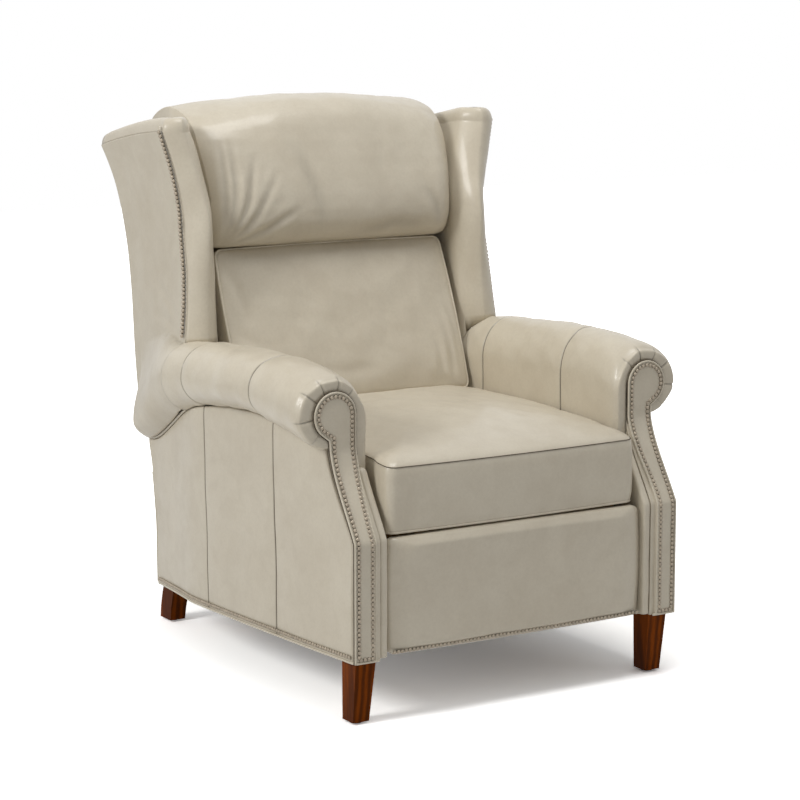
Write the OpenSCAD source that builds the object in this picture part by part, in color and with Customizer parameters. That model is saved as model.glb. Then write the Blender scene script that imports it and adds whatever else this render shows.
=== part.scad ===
// Wing chair recliner: fixed arms and wings, a seat that slides forward as the leg rest opens,
// and an inner back that reclines between the wings. All sizes are in millimetres.
// Sizes along the depth are written from the front face of the arm panels, y = 0, and from the
// middle of the chair outward, x = 0. Each piece is moved to the chair's own middle at the end.

/* [Chair] */
// Width of the seat cushion
seat_w = 550; // [540:2:560]
// Depth of the seat cushion
seat_d = 611; // [600:1:620]
// Height of the underside of the seat cushion
seat_z = 352; // [346:1:358]
// Height of the sides above the floor at the front
floor_gap = 121; // [112:1:130]
// How much lower the sides hang at the rear corner
bottom_drop = 20; // [10:1:26]
// Depth of the sides behind the back hinge
rear_d = 122; // [118:1:128]
// How far the rear edge leans back, from the bottom to the top of the wings
rear_rake = 175; // [168:1:180]

/* [Arms] */
// Rise of the arm roll above the crown of the seat cushion
arm_rise = 149; // [140:1:156]
// Thickness of the padding inside the arms
arm_wall = 27; // [26:1:30]
// How far the arm roll stands out past the front panel
roll_reach = 68; // [62:1:72]
// Depth from the arm roll's crest to its underside
roll_drop = 114; // [108:1:118]
// How far the outside panel bows out behind the front panel
side_bow = 16; // [8:1:20]
// How far the outside panel draws in at its rear end
side_draw_in = 28; // [18:1:30]
// Width of the nailed front panel
facing_w = 52; // [48:1:56]
// Thickness of the nailed front panel
facing_t = 12; // [10:1:14]
// Radius of the scroll on top of the front panel
scroll_r = 42; // [38:1:44]
// Depth from the arm roll's crest to the middle of the scroll
scroll_drop = 88; // [84:1:92]
// How far the scroll stands back from the front
scroll_y = 84; // [78:1:90]
// Width of the padded strips beside the leg rest
wrap_w = 19.2; // [17:0.2:21]

/* [Wings] */
// Rise of the wing's narrowest place above the foot of the head pillow
waist_rise = 67; // [50:1:80]
// Distance of the wing's top below the top of the head pillow
wing_drop = 61; // [50:1:75]
// Thickness of the wing at its narrowest place
wing_t = 61; // [59:1:62]
// How far the wing's front flares out at its top
wing_flare = 39; // [30:1:44]
// How far the wing's front flares out where it meets the arm
wing_foot_out = 21; // [16:1:25]
// How far the wing's rear edge flares out at its top
wing_rear_flare = 27; // [18:1:30]
// Slope of the wing's top, as a drop over its depth
wing_fall = 46; // [36:1:54]
// How far the padded front of the wing stands ahead of its nail row
wing_bulge = 25; // [18:1:28]

/* [Frame] */
// Thickness of the side boards
frame_t = 24; // [20:1:24]
// Height of the cross rails
rail_h = 44; // [36:1:50]
// Thickness of the wing frame's upper part
wing_board_t = 16; // [12:1:18]
// Thickness of leather with its thin lining, on panels
skin_t = 6; // [4:1:7]
// How far the fixed rear panel stands behind the rear corner of the sides
rear_panel_past = 88; // [84:1:92]

/* [Legs] */
// Width of a leg at the floor
leg_foot_w = 34; // [28:1:38]
// Width of a leg at the top
leg_top_w = 43; // [40:1:46]
// Depth of a front leg at the top
leg_top_d = 48; // [44:1:50]
// Depth of a front leg at the floor
leg_foot_d = 37; // [32:1:40]
// How far the rear legs stand in from the side boards
rear_leg_in = 16; // [14:1:22]
// How far the rear legs sweep back
rear_leg_splay = 61; // [50:1:66]
// Diameter of the glides under the legs
glide_d = 22; // [18:1:24]
// Thickness of the glides under the legs
glide_t = 4; // [3:1:5]
// Diameter of the leg bolts
leg_bolt_d = 8; // [6:1:10]

/* [Seat] */
// Front of the seat cushion, behind the front panels
seat_y = 29; // [24:1:34]
// Height of the cushion's boxing, between its two welts
seat_boxing = 115; // [105:1:118]
// Crown of the seat cushion above its upper welt
seat_crown = 32; // [20:1:34]
// Height of the wooden seat frame
seat_rail_h = 45; // [40:1:48]
// Travel of the seat on its rails
seat_travel = 60; // [40:1:60]
// Number of springs across the seat
seat_spring_count = 5; // [4:1:6]
// Wire diameter of the springs
spring_wire = 4; // [3:0.5:5]

/* [Back] */
// How far the lower back cushion reaches forward over the seat cushion
back_over_seat = 80; // [76:1:84]
// Lean of the back cushion, as depth over height
back_lean = 0.4; // [0.37:0.01:0.42]
// Height of the lower back cushion
back_h = 303; // [290:1:310]
// Thickness of the lower back cushion
back_t = 84; // [74:1:88]
// Height of the head pillow
pillow_h = 299; // [290:1:305]
// Depth of the back hinge behind the seat cushion
hinge_back = 60; // [58:1:64]
// Depth of the back hinge below the underside of the seat cushion
hinge_drop = 18; // [16:1:20]
// Angle that the back reclines through
recline = 30; // [20:1:30]
// Thickness of the boards in the back frame
stile_t = 22; // [18:1:22]

/* [Leg rest] */
// Thickness of the leg rest's padding
rest_pad_t = 30; // [26:1:32]
// Thickness of the leg rest's board
rest_board_t = 12; // [10:1:12]
// Length of the long link from the seat to the knee
long_link = 160; // [158:1:161]
// Width of the steel links
link_w = 20; // [16:1:22]
// Thickness of the steel links and plates
steel_t = 4; // [3:0.5:4]
// Diameter of the pivot pins
pin_d = 10; // [8:1:11]

/* [Hidden] */

// Gap left between a piece and the piece it lies on
lay = 0.3;
// Gap beside a piece that slides or swings past another
pass = 2;
// Radial clearance of a pivot pin in its hole
pin_fit = 0.05;
// Overrun of a cut beyond the face it starts from
over = 1;
// Number of sides of the fine round pieces
round_sides = 48;
// Length of one step when a table is smoothed
ease_reach = 24;

// Widths, from the middle of the seat outward
arm_gap = 3;
arm_in = seat_w / 2 + arm_gap;
frame_in = arm_in + arm_wall;
facing_gap = 3;
front_x = frame_in + facing_gap + facing_w;
wrap_in = frame_in - lay - wrap_w;
rest_w = 2 * (wrap_in - pass);
waist_set_in = 13;
waist_x = front_x - waist_set_in;
wing_in = waist_x - wing_t;
wing_top_x = waist_x + wing_flare;
wing_foot_x = waist_x + wing_foot_out;
wing_rear_in = 6;
wing_rear_x = waist_x - wing_rear_in;
back_set_in = 3;
back_w = seat_w - 2 * back_set_in;
pillow_set_in = 5;
pillow_w = 2 * (wing_in - pillow_set_in);
rear_leg_x = frame_in - rear_leg_in;

// Depths, from the front panels back
seat_end = seat_y + seat_d;
arm_short = 8;
arm_len = seat_end - arm_short;
back_y = seat_end - back_over_seat;
hinge_y = seat_end + hinge_back;
side_d = hinge_y + rear_d;
rear_panel_y = side_d + rear_panel_past;

// Heights, from the seat cushion down and up
kink_drop = 12;
kink_z = seat_z - kink_drop;
hinge_z = seat_z - hinge_drop;
rear_panel_z = hinge_z - 2 * pass;
seat_top_z = seat_z + seat_boxing + seat_crown;
arm_h = seat_top_z + arm_rise;
scroll_z = arm_h - scroll_drop;
frame_top = scroll_z;
roll_under = arm_h - roll_drop;
back_lift = 4;
back_foot_z = seat_top_z + back_lift;
pillow_z = back_foot_z + back_h;
chair_h = pillow_z + pillow_h;
waist_z = pillow_z + waist_rise;
wing_h = chair_h - wing_drop;

// Averages a table around a place, which rounds its corners
function eased(at, table, reach = ease_reach) =
    (lookup(at - reach, table) + 2 * lookup(at, table) + lookup(at + reach, table)) / 4;

// Scales the two columns of a table of shares
function scaled(shares, along, size) = [for (row = shares) [row[0] * along, row[1] * size]];

// Halfway value between two values
function mix(a, b, t) = a + (b - a) * t;

// Height of the underside of the sides at a depth
function bottom_z(y) = floor_gap - bottom_drop * pow(max(y, 0) / side_d, 2);

// Depth of the front panel's face at a height: upright, leaning back, then upright under the scroll
lean_top_z = scroll_z - scroll_r;
lean_end_drop = 20;
lean_end_z = lean_top_z - lean_end_drop;
lean_curve_share = 0.65;
function lean_share(z) = min(max((z - kink_z) / (lean_end_z - kink_z), 0), 1);
function facing_y(z) = scroll_y * lean_share(z) * (1 + lean_curve_share * lean_share(z) * (1 - lean_share(z)));

// Rear edge of sides and wings, as shares of the wing's height and of the rake
rear_edge_shares = [[0, 0], [0.221, 0.038], [0.3, 0.094], [0.381, 0.23], [0.455, 0.404],
    [0.549, 0.484], [0.657, 0.531], [0.724, 0.587], [0.81, 0.69], [0.9, 0.817], [1, 1]];
function rear_edge_y(z) = side_d + eased(z, scaled(rear_edge_shares, wing_h, rear_rake));

// Place of the chair's middle along its depth
wing_cap = 8;
middle_y = rear_edge_y(wing_h - wing_cap) / 2;

// Outside of the side panel, as shares of the depth: bow outward, then drawn in at the rear
bow_shares = [[0, 0], [0.08, 0.3], [0.21, 0.72], [0.43, 1], [0.62, 0.92], [0.74, 0.7], [0.85, 0.2]];
draw_in_shares = [[0, 0], [0.74, 0], [0.85, 0.3], [0.94, 0.7], [1, 1]];
function side_x(y) = front_x + side_bow * eased(y, scaled(bow_shares, side_d, 1))
    - side_draw_in * eased(y, scaled(draw_in_shares, side_d, 1));

// Crest of the arm roll, as shares of its length and of its height
crest_shares = [[0.14, 0.93], [0.152, 0.951], [0.161, 0.963], [0.177, 0.972], [0.206, 0.98],
    [0.253, 0.989], [0.35, 0.997], [0.43, 1], [0.55, 1], [0.71, 0.991], [0.866, 0.985], [0.95, 0.973], [1, 0.968]];
function crest_z(y) = eased(y, scaled(crest_shares, arm_len, arm_h), ease_reach / 4);

// Outside of the arm roll, as shares of its length and of its overhang past the front panel
roll_out_shares = [[0.14, 0.62], [0.146, 0.78], [0.152, 0.88], [0.161, 0.95], [0.177, 0.985],
    [0.206, 1], [0.6, 1], [0.866, 0.95], [1, 0.88]];
function roll_x(y) = front_x + roll_reach * eased(y, scaled(roll_out_shares, arm_len, 1), ease_reach / 4);

// Underside of the arm roll, as shares of its length and height, on to the rear corner of the side
under_shares = [[0.14, 0.93], [0.16, 0.937], [0.2, 0.948], [0.27, 0.962], [0.425, 0.987], [0.53, 1], [0.69, 0.99],
    [0.85, 0.968], [0.95, 0.945], [1.03, 0.91], [1.13, 0.85], [1.23, 0.79], [1.32, 0.748]];
function under_z(y) = eased(y, scaled(under_shares, arm_len, roll_under));

// How far the arm's inside stands back from its inner face near the front
inside_shares = [[0.14, 0.8], [0.158, 0.5], [0.177, 0.3], [0.206, 0.16], [0.253, 0.04], [0.3, 0]];
function inside_x(y) = arm_in
    + (frame_in - arm_in) * eased(y, scaled(inside_shares, arm_len, 1), ease_reach / 6);

// Nail row along the wing's front edge
wing_foot_sink = 28;
wing_foot_z = arm_h - wing_foot_sink;
wing_foot_y = arm_len;
waist_set_back = 18;
waist_y = arm_len + waist_set_back;
wing_top_set_back = 50;
wing_top_y = arm_len + wing_top_set_back;
function wing_front_x(z) = z > waist_z
    ? waist_x + (wing_top_x - waist_x) * pow((z - waist_z) / (wing_h - waist_z), 2)
    : waist_x + (wing_foot_x - waist_x) * pow((waist_z - max(z, wing_foot_z)) / (waist_z - wing_foot_z), 2);
function wing_front_y(z) = lookup(z, [[wing_foot_z, wing_foot_y], [waist_z, waist_y], [wing_h, wing_top_y]]);
wing_rear_waist_drop = 100;
wing_rear_waist_z = waist_z - wing_rear_waist_drop;
function wing_rear_edge_x(z) =
    wing_rear_x + wing_rear_flare * pow(max(z - wing_rear_waist_z, 0) / (wing_h - wing_rear_waist_z), 1.6);
// Outside of the wing at a share of its depth
function wing_x(share, z) = mix(wing_front_x(z), wing_rear_edge_x(z), share);
function wing_y(share, z) = mix(wing_front_y(z), rear_edge_y(z), share);
// The top falls toward the rear, more so the higher up
function wing_fall_at(share, z) = wing_fall * pow(share, 1.5) * pow(max(z - waist_z, 0) / (wing_h - waist_z), 1.5);

// Inside of the wing
function wing_inside_x(z) = wing_in + (wing_front_x(z) - waist_x) * (z > waist_z ? 1 : 0);

// Moves a piece from the front panels' own place to the middle of the chair
module placed() {
    translate([0, -middle_y, 0]) children();
}

// Draws a piece for the left or right side, as seen from the front; side is 1 on the right, where x grows
module on_side(side) {
    if (side > 0) children();
    else mirror([1, 0, 0]) children();
}

// Solid through a row of closed rings with the same number of points; turned picks the other diagonal,
// and strips closes the ends across the ring, for thin rings whose sides are straight
module loft(rings, turned = false, strips = false) {
    n = len(rings[0]);
    m = len(rings);
    walls = [for (k = [0:m - 2]) for (i = [0:n - 1])
        let (a = k * n + i, b = k * n + (i + 1) % n, c = b + n, d = a + n)
        each (turned ? [[a, b, d], [b, c, d]] : [[a, b, c], [a, c, d]])];
    far = (m - 1) * n;
    ends = !strips ? [[for (i = [n - 1:-1:0]) i], [for (i = [0:n - 1]) far + i]]
        : [for (i = [0:n / 2 - 2]) each [
            [i + 1, i, n - 1 - i], [i + 1, n - 1 - i, n - 2 - i],
            [far + i, far + i + 1, far + n - 1 - i], [far + i + 1, far + n - 2 - i, far + n - 1 - i]]];
    polyhedron([for (ring = rings) for (p = ring) p], concat(walls, ends), convexity = 8);
}

// Solid between two grids of points with the same rows and columns
module slab(near, far) {
    r = len(near);
    c = len(near[0]);
    o = r * c;
    tops = [for (i = [0:r - 2]) for (j = [0:c - 2]) each [
        [i * c + j, (i + 1) * c + j, (i + 1) * c + j + 1],
        [i * c + j, (i + 1) * c + j + 1, i * c + j + 1]]];
    bottoms = [for (f = tops) [o + f[0], o + f[2], o + f[1]]];
    rim = concat([for (i = [0:r - 1]) i * c], [for (j = [1:c - 1]) (r - 1) * c + j],
        [for (i = [r - 2:-1:0]) i * c + c - 1], [for (j = [c - 2:-1:1]) j]);
    k = len(rim);
    edges = [for (i = [0:k - 1]) each [
        [rim[i], o + rim[i], o + rim[(i + 1) % k]],
        [rim[i], o + rim[(i + 1) % k], rim[(i + 1) % k]]]];
    polyhedron(concat([for (row = near) for (p = row) p], [for (row = far) for (p = row) p]),
        concat(tops, bottoms, edges), convexity = 8);
}

// Solid cushion lying flat: rings of a rounded outline, drawn in at both faces and crowned on top.
// Its lower face is at z = 0, and levels holds [share of the outline, height] from the bottom up.
cushion_turn_steps = 5;
cushion_edge_steps = 6;
// How far the corners of a cushion stay inside its widest place, as a share of its width
cushion_bow_share = 0.008;
function quarter(w, d, r) = let (bow = w * cushion_bow_share) concat(
    [for (i = [0:cushion_turn_steps]) let (a = 90 - 90 * i / cushion_turn_steps)
        [w / 2 - bow - r + r * cos(a), d / 2 - bow - r + r * sin(a)]],
    [for (i = [1:cushion_edge_steps - 1]) let (t = 1 - 2 * i / cushion_edge_steps)
        [w / 2 - bow * pow(t, 2), (d / 2 - bow - r) * t]]);
function turned(points) = [for (p = points) [p[1], -p[0]]];
function outline(w, d, r) = let (wide = quarter(w, d, r), deep = turned(quarter(d, w, r)))
    concat(wide, deep, turned(turned(wide)), turned(turned(deep)));
module cushion(w, d, r, levels) {
    loft([for (level = levels) [for (p = outline(w, d, r)) [p[0] * level[0], p[1] * level[0], level[1]]]]);
}

// Outline of a steel link: a bar between each pivot and the next, with a wider round eye at each
bar_share = 0.8;
module link_bar(places, width) {
    for (i = [1:len(places) - 1]) let (a = places[i - 1], along = places[i] - a)
        translate(a) rotate(atan2(along[1], along[0])) translate([0, -width * bar_share / 2])
            square([norm(along), width * bar_share]);
    for (place = places) translate(place) circle(d = width, $fn = round_sides);
}

// Turns an outline drawn in depth and height into a plate whose inner face is at x
module plate(x, thickness) {
    translate([x, 0, 0]) rotate([90, 0, 90]) linear_extrude(thickness) children();
}

// Round bar across the chair from x to x + length at a place in depth and height
module cross_bar(x, length, place, diameter) {
    translate([x, place[0], place[1]]) rotate([0, 90, 0]) cylinder(d = diameter, h = length, $fn = round_sides);
}

// Zigzag spring in its own plane, along y, with round turns
module zigzag(length, width, turns) {
    pitch = length / turns;
    reach = width / 2 - pitch / 2;
    linear_extrude(spring_wire) {
        for (i = [0:turns - 1]) {
            turn_side = i % 2 == 0 ? 1 : -1;
            translate([turn_side * reach, (i + 0.5) * pitch]) intersection() {
                difference() {
                    circle(d = pitch + spring_wire, $fn = round_sides);
                    circle(d = pitch - spring_wire, $fn = round_sides);
                }
                translate([turn_side > 0 ? 0 : -pitch, -pitch]) square([pitch, 2 * pitch]);
            }
        }
        for (i = [0:turns]) translate([-reach - lay, i * pitch - spring_wire / 2])
            square([2 * reach + 2 * lay, spring_wire]);
    }
}

// Side boards: one board for each side, with blocks that take the front legs
block_out = front_x - skin_t - pass;
block_y = facing_t + lay;
leg_wall = 6;
block_d = leg_top_d + leg_wall;
block_h = 42;
board_rise = 2;
board_set_in = 14;
module side_board_outline() {
    low = [for (i = [0:6]) i / 6];
    rear = [for (i = [0:8]) i / 8];
    polygon(concat(
        [for (z = facing_levels) [facing_y(z) + facing_t + 2 * lay, max(z, bottom_z(0) + board_rise)]],
        [for (t = rear) let (z = mix(frame_top, bottom_z(side_d) + board_rise, t))
            [rear_edge_y(z) - board_set_in, z]],
        [for (t = low) let (y = mix(side_d - board_set_in, block_y + leg_wall, t))
            [y, bottom_z(y) + board_rise]]));
}
leg_front_top = 15;
front_leg_mid = [block_out - leg_top_w / 2, leg_front_top + leg_top_d / 2];
bolt_sink = 36;
module side_board(side) color("burlywood") placed() on_side(side) difference() {
    union() {
        plate(frame_in, frame_t) side_board_outline();
        translate([frame_in, block_y, bottom_z(0) + board_rise]) cube([block_out - frame_in, block_d, block_h]);
    }
    translate([front_leg_mid[0], front_leg_mid[1], 0])
        cylinder(d = leg_bolt_d + 2 * pin_fit, h = bottom_z(0) + bolt_sink, $fn = round_sides);
}
module left_side_board() side_board(-1);
module right_side_board() side_board(1);

// Cross rails that join the two side boards
front_rail_y = 152;
rail_t = 38;
rear_rail_y = side_d - board_set_in - rail_t;
rear_rail_lift = 4;
rear_rail_z = bottom_z(side_d) + board_rise + rear_rail_lift;
module cross_rail(y, z) translate([lay - frame_in, y, z]) cube([2 * (frame_in - lay), rail_t, rail_h]);
rear_bolt_z = rear_rail_z + rail_h / 2;
rear_bolt_l = 58;
module front_cross_rail() color("tan") placed() cross_rail(front_rail_y, bottom_z(front_rail_y) + board_rise);
module rear_cross_rail() color("tan") placed() difference() {
    cross_rail(rear_rail_y, rear_rail_z);
    for (side = [-1, 1]) translate([side * rear_leg_mid_x, rear_rail_y - over, rear_bolt_z]) rotate([-90, 0, 0])
        cylinder(d = leg_bolt_d + 2 * pin_fit, h = rail_t + 2 * over, $fn = round_sides);
}

// Wing frames: hardwood that stands on the side board and follows the wing's flare
wing_pad_lift = 4;
wing_pad_foot = crest_z(arm_len) + wing_pad_lift;
wing_pad_levels = [for (i = [0:10]) mix(wing_pad_foot, wing_h - wing_cap, i / 10)];
wing_levels = concat([frame_top + lay], wing_pad_levels);
wing_foot_rise = 160;
function wing_board_out(share, z) = wing_x(share, z) - skin_t - lay;
function wing_board_in(share, z) = mix(frame_in + over, wing_board_out(share, z) - wing_board_t,
    min((z - frame_top) / wing_foot_rise, 1));
function wing_point(x, share, y_shift, z) = [x, wing_y(share, z) + y_shift, z - wing_fall_at(share, z)];
wing_shares = [for (i = [0:6]) i / 6];
function rear_step(share) = share == 1 ? -2 * pass : 0;
function wing_line(z, out) = [for (s = wing_shares)
    wing_point(out ? wing_board_out(s, z) : wing_board_in(s, z), s, rear_step(s), z)];
function backward(v) = [for (i = [len(v) - 1:-1:0]) v[i]];
module wing_frame(side) color("peru") placed() on_side(side)
    loft([for (z = wing_levels) concat(wing_line(z, true), backward(wing_line(z, false)))], strips = true);
module left_wing_frame() wing_frame(-1);
module right_wing_frame() wing_frame(1);

// Wing padding: inside face and the rounded front, closed over the frame at the top
wing_front_steps = 8;
wing_inner_t = 14;
wing_start_share = 0.06;
wing_inner_back = 15;
function wing_front_curve(z) = [for (i = [0:wing_front_steps]) let (t = i / wing_front_steps)
    [mix(wing_x(0, z), wing_inside_x(z), t), wing_y(0, z) + wing_inner_back * max(2 * t - 1, 0)
        - wing_bulge * pow(sin(180 * min(mix(wing_start_share, 1, t), 1)), 0.7), z]];
wing_in_reach = 34;
wing_in_share = 0.12;
function wing_ring(z, capped) = concat(
    [for (s = wing_shares) let (x = capped ? wing_x(s, z) - pass / 2 : wing_board_in(s, z) - lay)
        wing_point(x, s, rear_step(s) - (s == 0 ? lay : 0), z)],
    [wing_point(wing_board_in(1, z) - wing_inner_t, 1, -4 * pass, z),
     [wing_inside_x(z), wing_y(0, z) + wing_in_reach, z - wing_fall_at(wing_in_share, z)]],
    backward(wing_front_curve(z)), [wing_point(wing_x(0, z) - pass / 2, 0, -lay, z)]);
wing_lid_along_share = 0.4;
function shrunk(ring, share, rise) = let (mid = [mean(ring, 0), mean(ring, 1)])
    [for (p = ring) [mix(p[0], mid[0], share), mix(p[1], mid[1], share * wing_lid_along_share), p[2] + rise]];
function mean(ring, k) = sum([for (p = ring) p[k]]) / len(ring);
function sum(v, i = 0) = i < len(v) ? v[i] + sum(v, i + 1) : 0;
wing_lid_z = wing_h - wing_cap + 2 * lay;
wing_round = 27;
wing_lid_shares = [[0.05, 0.55], [0.22, 0.88], [0.5, 1]];
module wing_pad(side) color("ivory") placed() on_side(side) loft(concat(
    [for (z = wing_pad_levels) wing_ring(z, false)],
    [wing_ring(wing_h - wing_cap + lay, false), wing_ring(wing_lid_z, true)],
    [for (s = wing_lid_shares) shrunk(wing_ring(wing_lid_z, true), s[0], wing_round * s[1])]), true);
module left_wing_pad() wing_pad(-1);
module right_wing_pad() wing_pad(1);

// Outside leather of the wings, down to the arm roll
foot_shares = [0, 0.33, 0.67];
function wing_panel_foot(share, z = roll_under, tries = 4) = tries == 0 ? z + over
    : wing_panel_foot(share, under_z(wing_y(share, z)), tries - 1);
function wing_panel_levels(s) = concat(
    [for (t = foot_shares) mix(wing_panel_foot(s), wing_pad_foot, t)], wing_pad_levels);
function wing_panel_grid(inset) = [for (s = wing_shares) [for (z = wing_panel_levels(s))
    wing_point(wing_x(s, z) - inset, s, 0, z)]];
module wing_panel(side) color("linen") placed() on_side(side) slab(wing_panel_grid(skin_t), wing_panel_grid(0));
module left_wing_panel() wing_panel(-1);
module right_wing_panel() wing_panel(1);

// Padded arms: the inner wall and the roll, hooked over the side board
pad_foot = seat_z;
roll_mid_in = 10;
roll_mid_x = front_x - roll_mid_in;
roll_rise = 66;
inner_rise = 84;
pad_y0 = scroll_y + facing_t + lay;
arm_shares = [0, 0.01, 0.03, 0.065, 0.12, 0.22, 0.35, 0.5, 0.65, 0.8, 0.92, 1];
function arm_ring(y) = let (crest = crest_z(y), out = roll_x(y), low = under_z(y), ins = inside_x(y),
    cz = crest - roll_rise, board = frame_in + frame_t + lay) concat(
    [[ins, y, pad_foot], [frame_in - lay, y, pad_foot], [frame_in - lay, y, frame_top + lay],
     [board, y, frame_top + lay], [board, y, low]],
    [for (i = [0:11]) let (a = -75 + 15 * i)
        [roll_mid_x + (out - roll_mid_x) * cos(a), y,
         cz + (a < 0 ? (cz - low) * sin(a) / sin(75) : roll_rise * sin(a))]],
    [for (i = [1:6]) let (a = 90 + 15 * i)
        [roll_mid_x + (roll_mid_x - ins) * cos(a), y, crest - inner_rise * (1 - sin(a))]]);
module arm_pad(side) color("antiquewhite") placed() on_side(side)
    loft([for (s = arm_shares) arm_ring(mix(pad_y0, arm_len - lay, s))]);
module left_arm_pad() arm_pad(-1);
module right_arm_pad() arm_pad(1);

// Rear end of the arm roll, which flows from the roll up into the wing
rear_roll_past = 34;
rear_roll_end = side_d + rear_roll_past;
rear_roll_out = 6;
rear_ease_share = 0.05;
rear_roll_shares = [0, 0.25, 0.45, 0.65, 0.82, 0.94, 1];
rear_roll_end_share = 0.6;
rear_top_shares = [[0, 0.955], [0.3, 0.96], [0.6, 0.93], [1, 0.87]];
rear_mid_shares = [[0, 0.865], [0.3, 0.82], [0.6, 0.745], [1, 0.67]];
function wing_share(y, z) = min(max((y - wing_front_y(z)) / (rear_edge_y(z) - wing_front_y(z)), 0), 1);
function rear_roll_ring(s) = let (y = mix(arm_len + lay, rear_roll_end, s),
    top = eased(s, scaled(rear_top_shares, 1, arm_h), rear_ease_share),
    mid = eased(s, scaled(rear_mid_shares, 1, arm_h), rear_ease_share),
    low = under_z(y) + lay, out = mix(roll_x(arm_len), wing_foot_x + rear_roll_out, pow(s, 1.2))) concat(
    [for (t = [0, 0.25, 0.5, 0.75]) let (z = mix(top, low, t)) [wing_x(wing_share(y, z), z) + lay, y, z]],
    [for (i = [0:10]) let (a = -80 + 16 * i, base = wing_x(wing_share(y, mid), mid) + lay)
        [base + (out - base) * (s == 1 ? rear_roll_end_share : 1) * pow(cos(a), 0.8), y,
         mid + (a < 0 ? (mid - low) * sin(a) / sin(80) : (top - mid) * sin(a))]]);
module rear_roll(side) color("wheat") placed() on_side(side)
    loft([for (s = rear_roll_shares) rear_roll_ring(s)]);
module left_rear_roll() rear_roll(-1);
module right_rear_roll() rear_roll(1);

// Outside panels of the arms, from the front panel to the rear corner
side_shares = [0, 0.03, 0.08, 0.15, 0.25, 0.35, 0.45, 0.55, 0.65, 0.75, 0.85, 0.93, 1];
lower_shares = [0, 0.5];
upper_shares = [0, 0.1, 0.25, 0.45, 0.65, 0.85, 1];
function side_y(s, z) = mix(facing_y(z) + facing_t + 2 * lay, rear_edge_y(z), s);
function side_top(s, z = roll_under, tries = 4) = tries == 0 ? z - over
    : side_top(s, under_z(side_y(s, z)), tries - 1);
function side_levels(s) = concat([for (t = lower_shares) mix(bottom_z(side_y(s, floor_gap)), kink_z, t)],
    [for (t = upper_shares) mix(kink_z, side_top(s), t)]);
function side_grid(inside) = [for (s = side_shares) [for (z = side_levels(s))
    [inside ? frame_in + frame_t + lay : side_x(side_y(s, z)), side_y(s, z), z]]];
module outside_panel(side) color("cornsilk") placed() on_side(side) difference() {
    slab(side_grid(true), side_grid(false));
    translate([frame_in, 0, 0])
        cube([block_out + lay - frame_in, block_y + block_d + lay, bottom_z(0) + board_rise + block_h + lay]);
}
module left_outside_panel() outside_panel(-1);
module right_outside_panel() outside_panel(1);

// Nailed front panels: an upright band that leans back into the scroll
facing_in = front_x - facing_w;
facing_levels = concat([bottom_z(0)], [for (i = [0:10]) mix(kink_z, lean_top_z, i / 10)], [scroll_z]);
module front_panel(side) color("bisque") placed() on_side(side) {
    plate(facing_in, facing_w) polygon(concat(
        [for (z = facing_levels) [facing_y(z), z]],
        [for (i = [len(facing_levels) - 1:-1:0]) [facing_y(facing_levels[i]) + facing_t, facing_levels[i]]]));
    translate([facing_in + scroll_r, scroll_y, scroll_z]) rotate([-90, 0, 0])
        cylinder(r = scroll_r, h = facing_t, $fn = round_sides);
}
module left_front_panel() front_panel(-1);
module right_front_panel() front_panel(1);

// Padded strips beside the leg rest, inside the front panels
wrap_set_back = 6;
wrap_d = 54;
module front_wrap(side) color("blanchedalmond") placed() on_side(side)
    plate(wrap_in, wrap_w) polygon(concat(
        [for (z = facing_levels) if (z < lean_top_z) [facing_y(z) + wrap_set_back, z + board_rise]],
        [[scroll_y + facing_t, lean_top_z], [scroll_y + facing_t, pad_foot], [wrap_d, pad_foot - wrap_d],
         [wrap_d, bottom_z(0) + board_rise]]));
module left_front_wrap() front_wrap(-1);
module right_front_wrap() front_wrap(1);

// Fixed panel across the rear below the reclining back
rear_bend_in = 43;
rear_bend_x = frame_in - rear_bend_in;
rear_panel_t = 8;
rear_panel_half = side_x(side_d);
function rear_panel_depth(x, z) = rear_panel_y - (rear_panel_y - rear_edge_y(z) - rear_panel_t - over)
    * pow(max(abs(x) - rear_bend_x, 0) / (rear_panel_half - rear_bend_x), 2);
rear_panel_xs = [for (i = [-12:12]) rear_panel_half * sin(90 * i / 12)];
rear_panel_zs = [for (i = [0:4]) mix(bottom_z(side_d), rear_panel_z, i / 4)];
function rear_panel_grid(inset) = [for (x = rear_panel_xs) [for (z = rear_panel_zs)
    [x, rear_panel_depth(x, z) - inset, z]]];
module lower_rear_panel() color("linen") placed() slab(rear_panel_grid(0), rear_panel_grid(rear_panel_t));

// Front legs: tapered, the front face leaning back a little
leg_top_z = floor_gap + board_rise - lay;
leg_out_top = block_out;
leg_side_taper = 3;
leg_out_foot = block_out - leg_side_taper;
leg_front_foot = 30;
function front_leg_ring(t) = let (out = mix(leg_out_foot, leg_out_top, t), w = mix(leg_foot_w, leg_top_w, t),
    y = mix(leg_front_foot, leg_front_top, t), d = mix(leg_foot_d, leg_top_d, t),
    z = mix(glide_t, leg_top_z, t))
    [[out, y, z], [out - w, y, z], [out - w, y + d, z], [out, y + d, z]];
module front_leg(side) color("sienna") placed() on_side(side) difference() {
    loft([front_leg_ring(0), front_leg_ring(1)]);
    translate([front_leg_mid[0], front_leg_mid[1], floor_gap - bolt_sink])
        cylinder(d = leg_bolt_d + 2 * pin_fit, h = 2 * bolt_sink, $fn = round_sides);
}
module left_front_leg() front_leg(-1);
module right_front_leg() front_leg(1);

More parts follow.
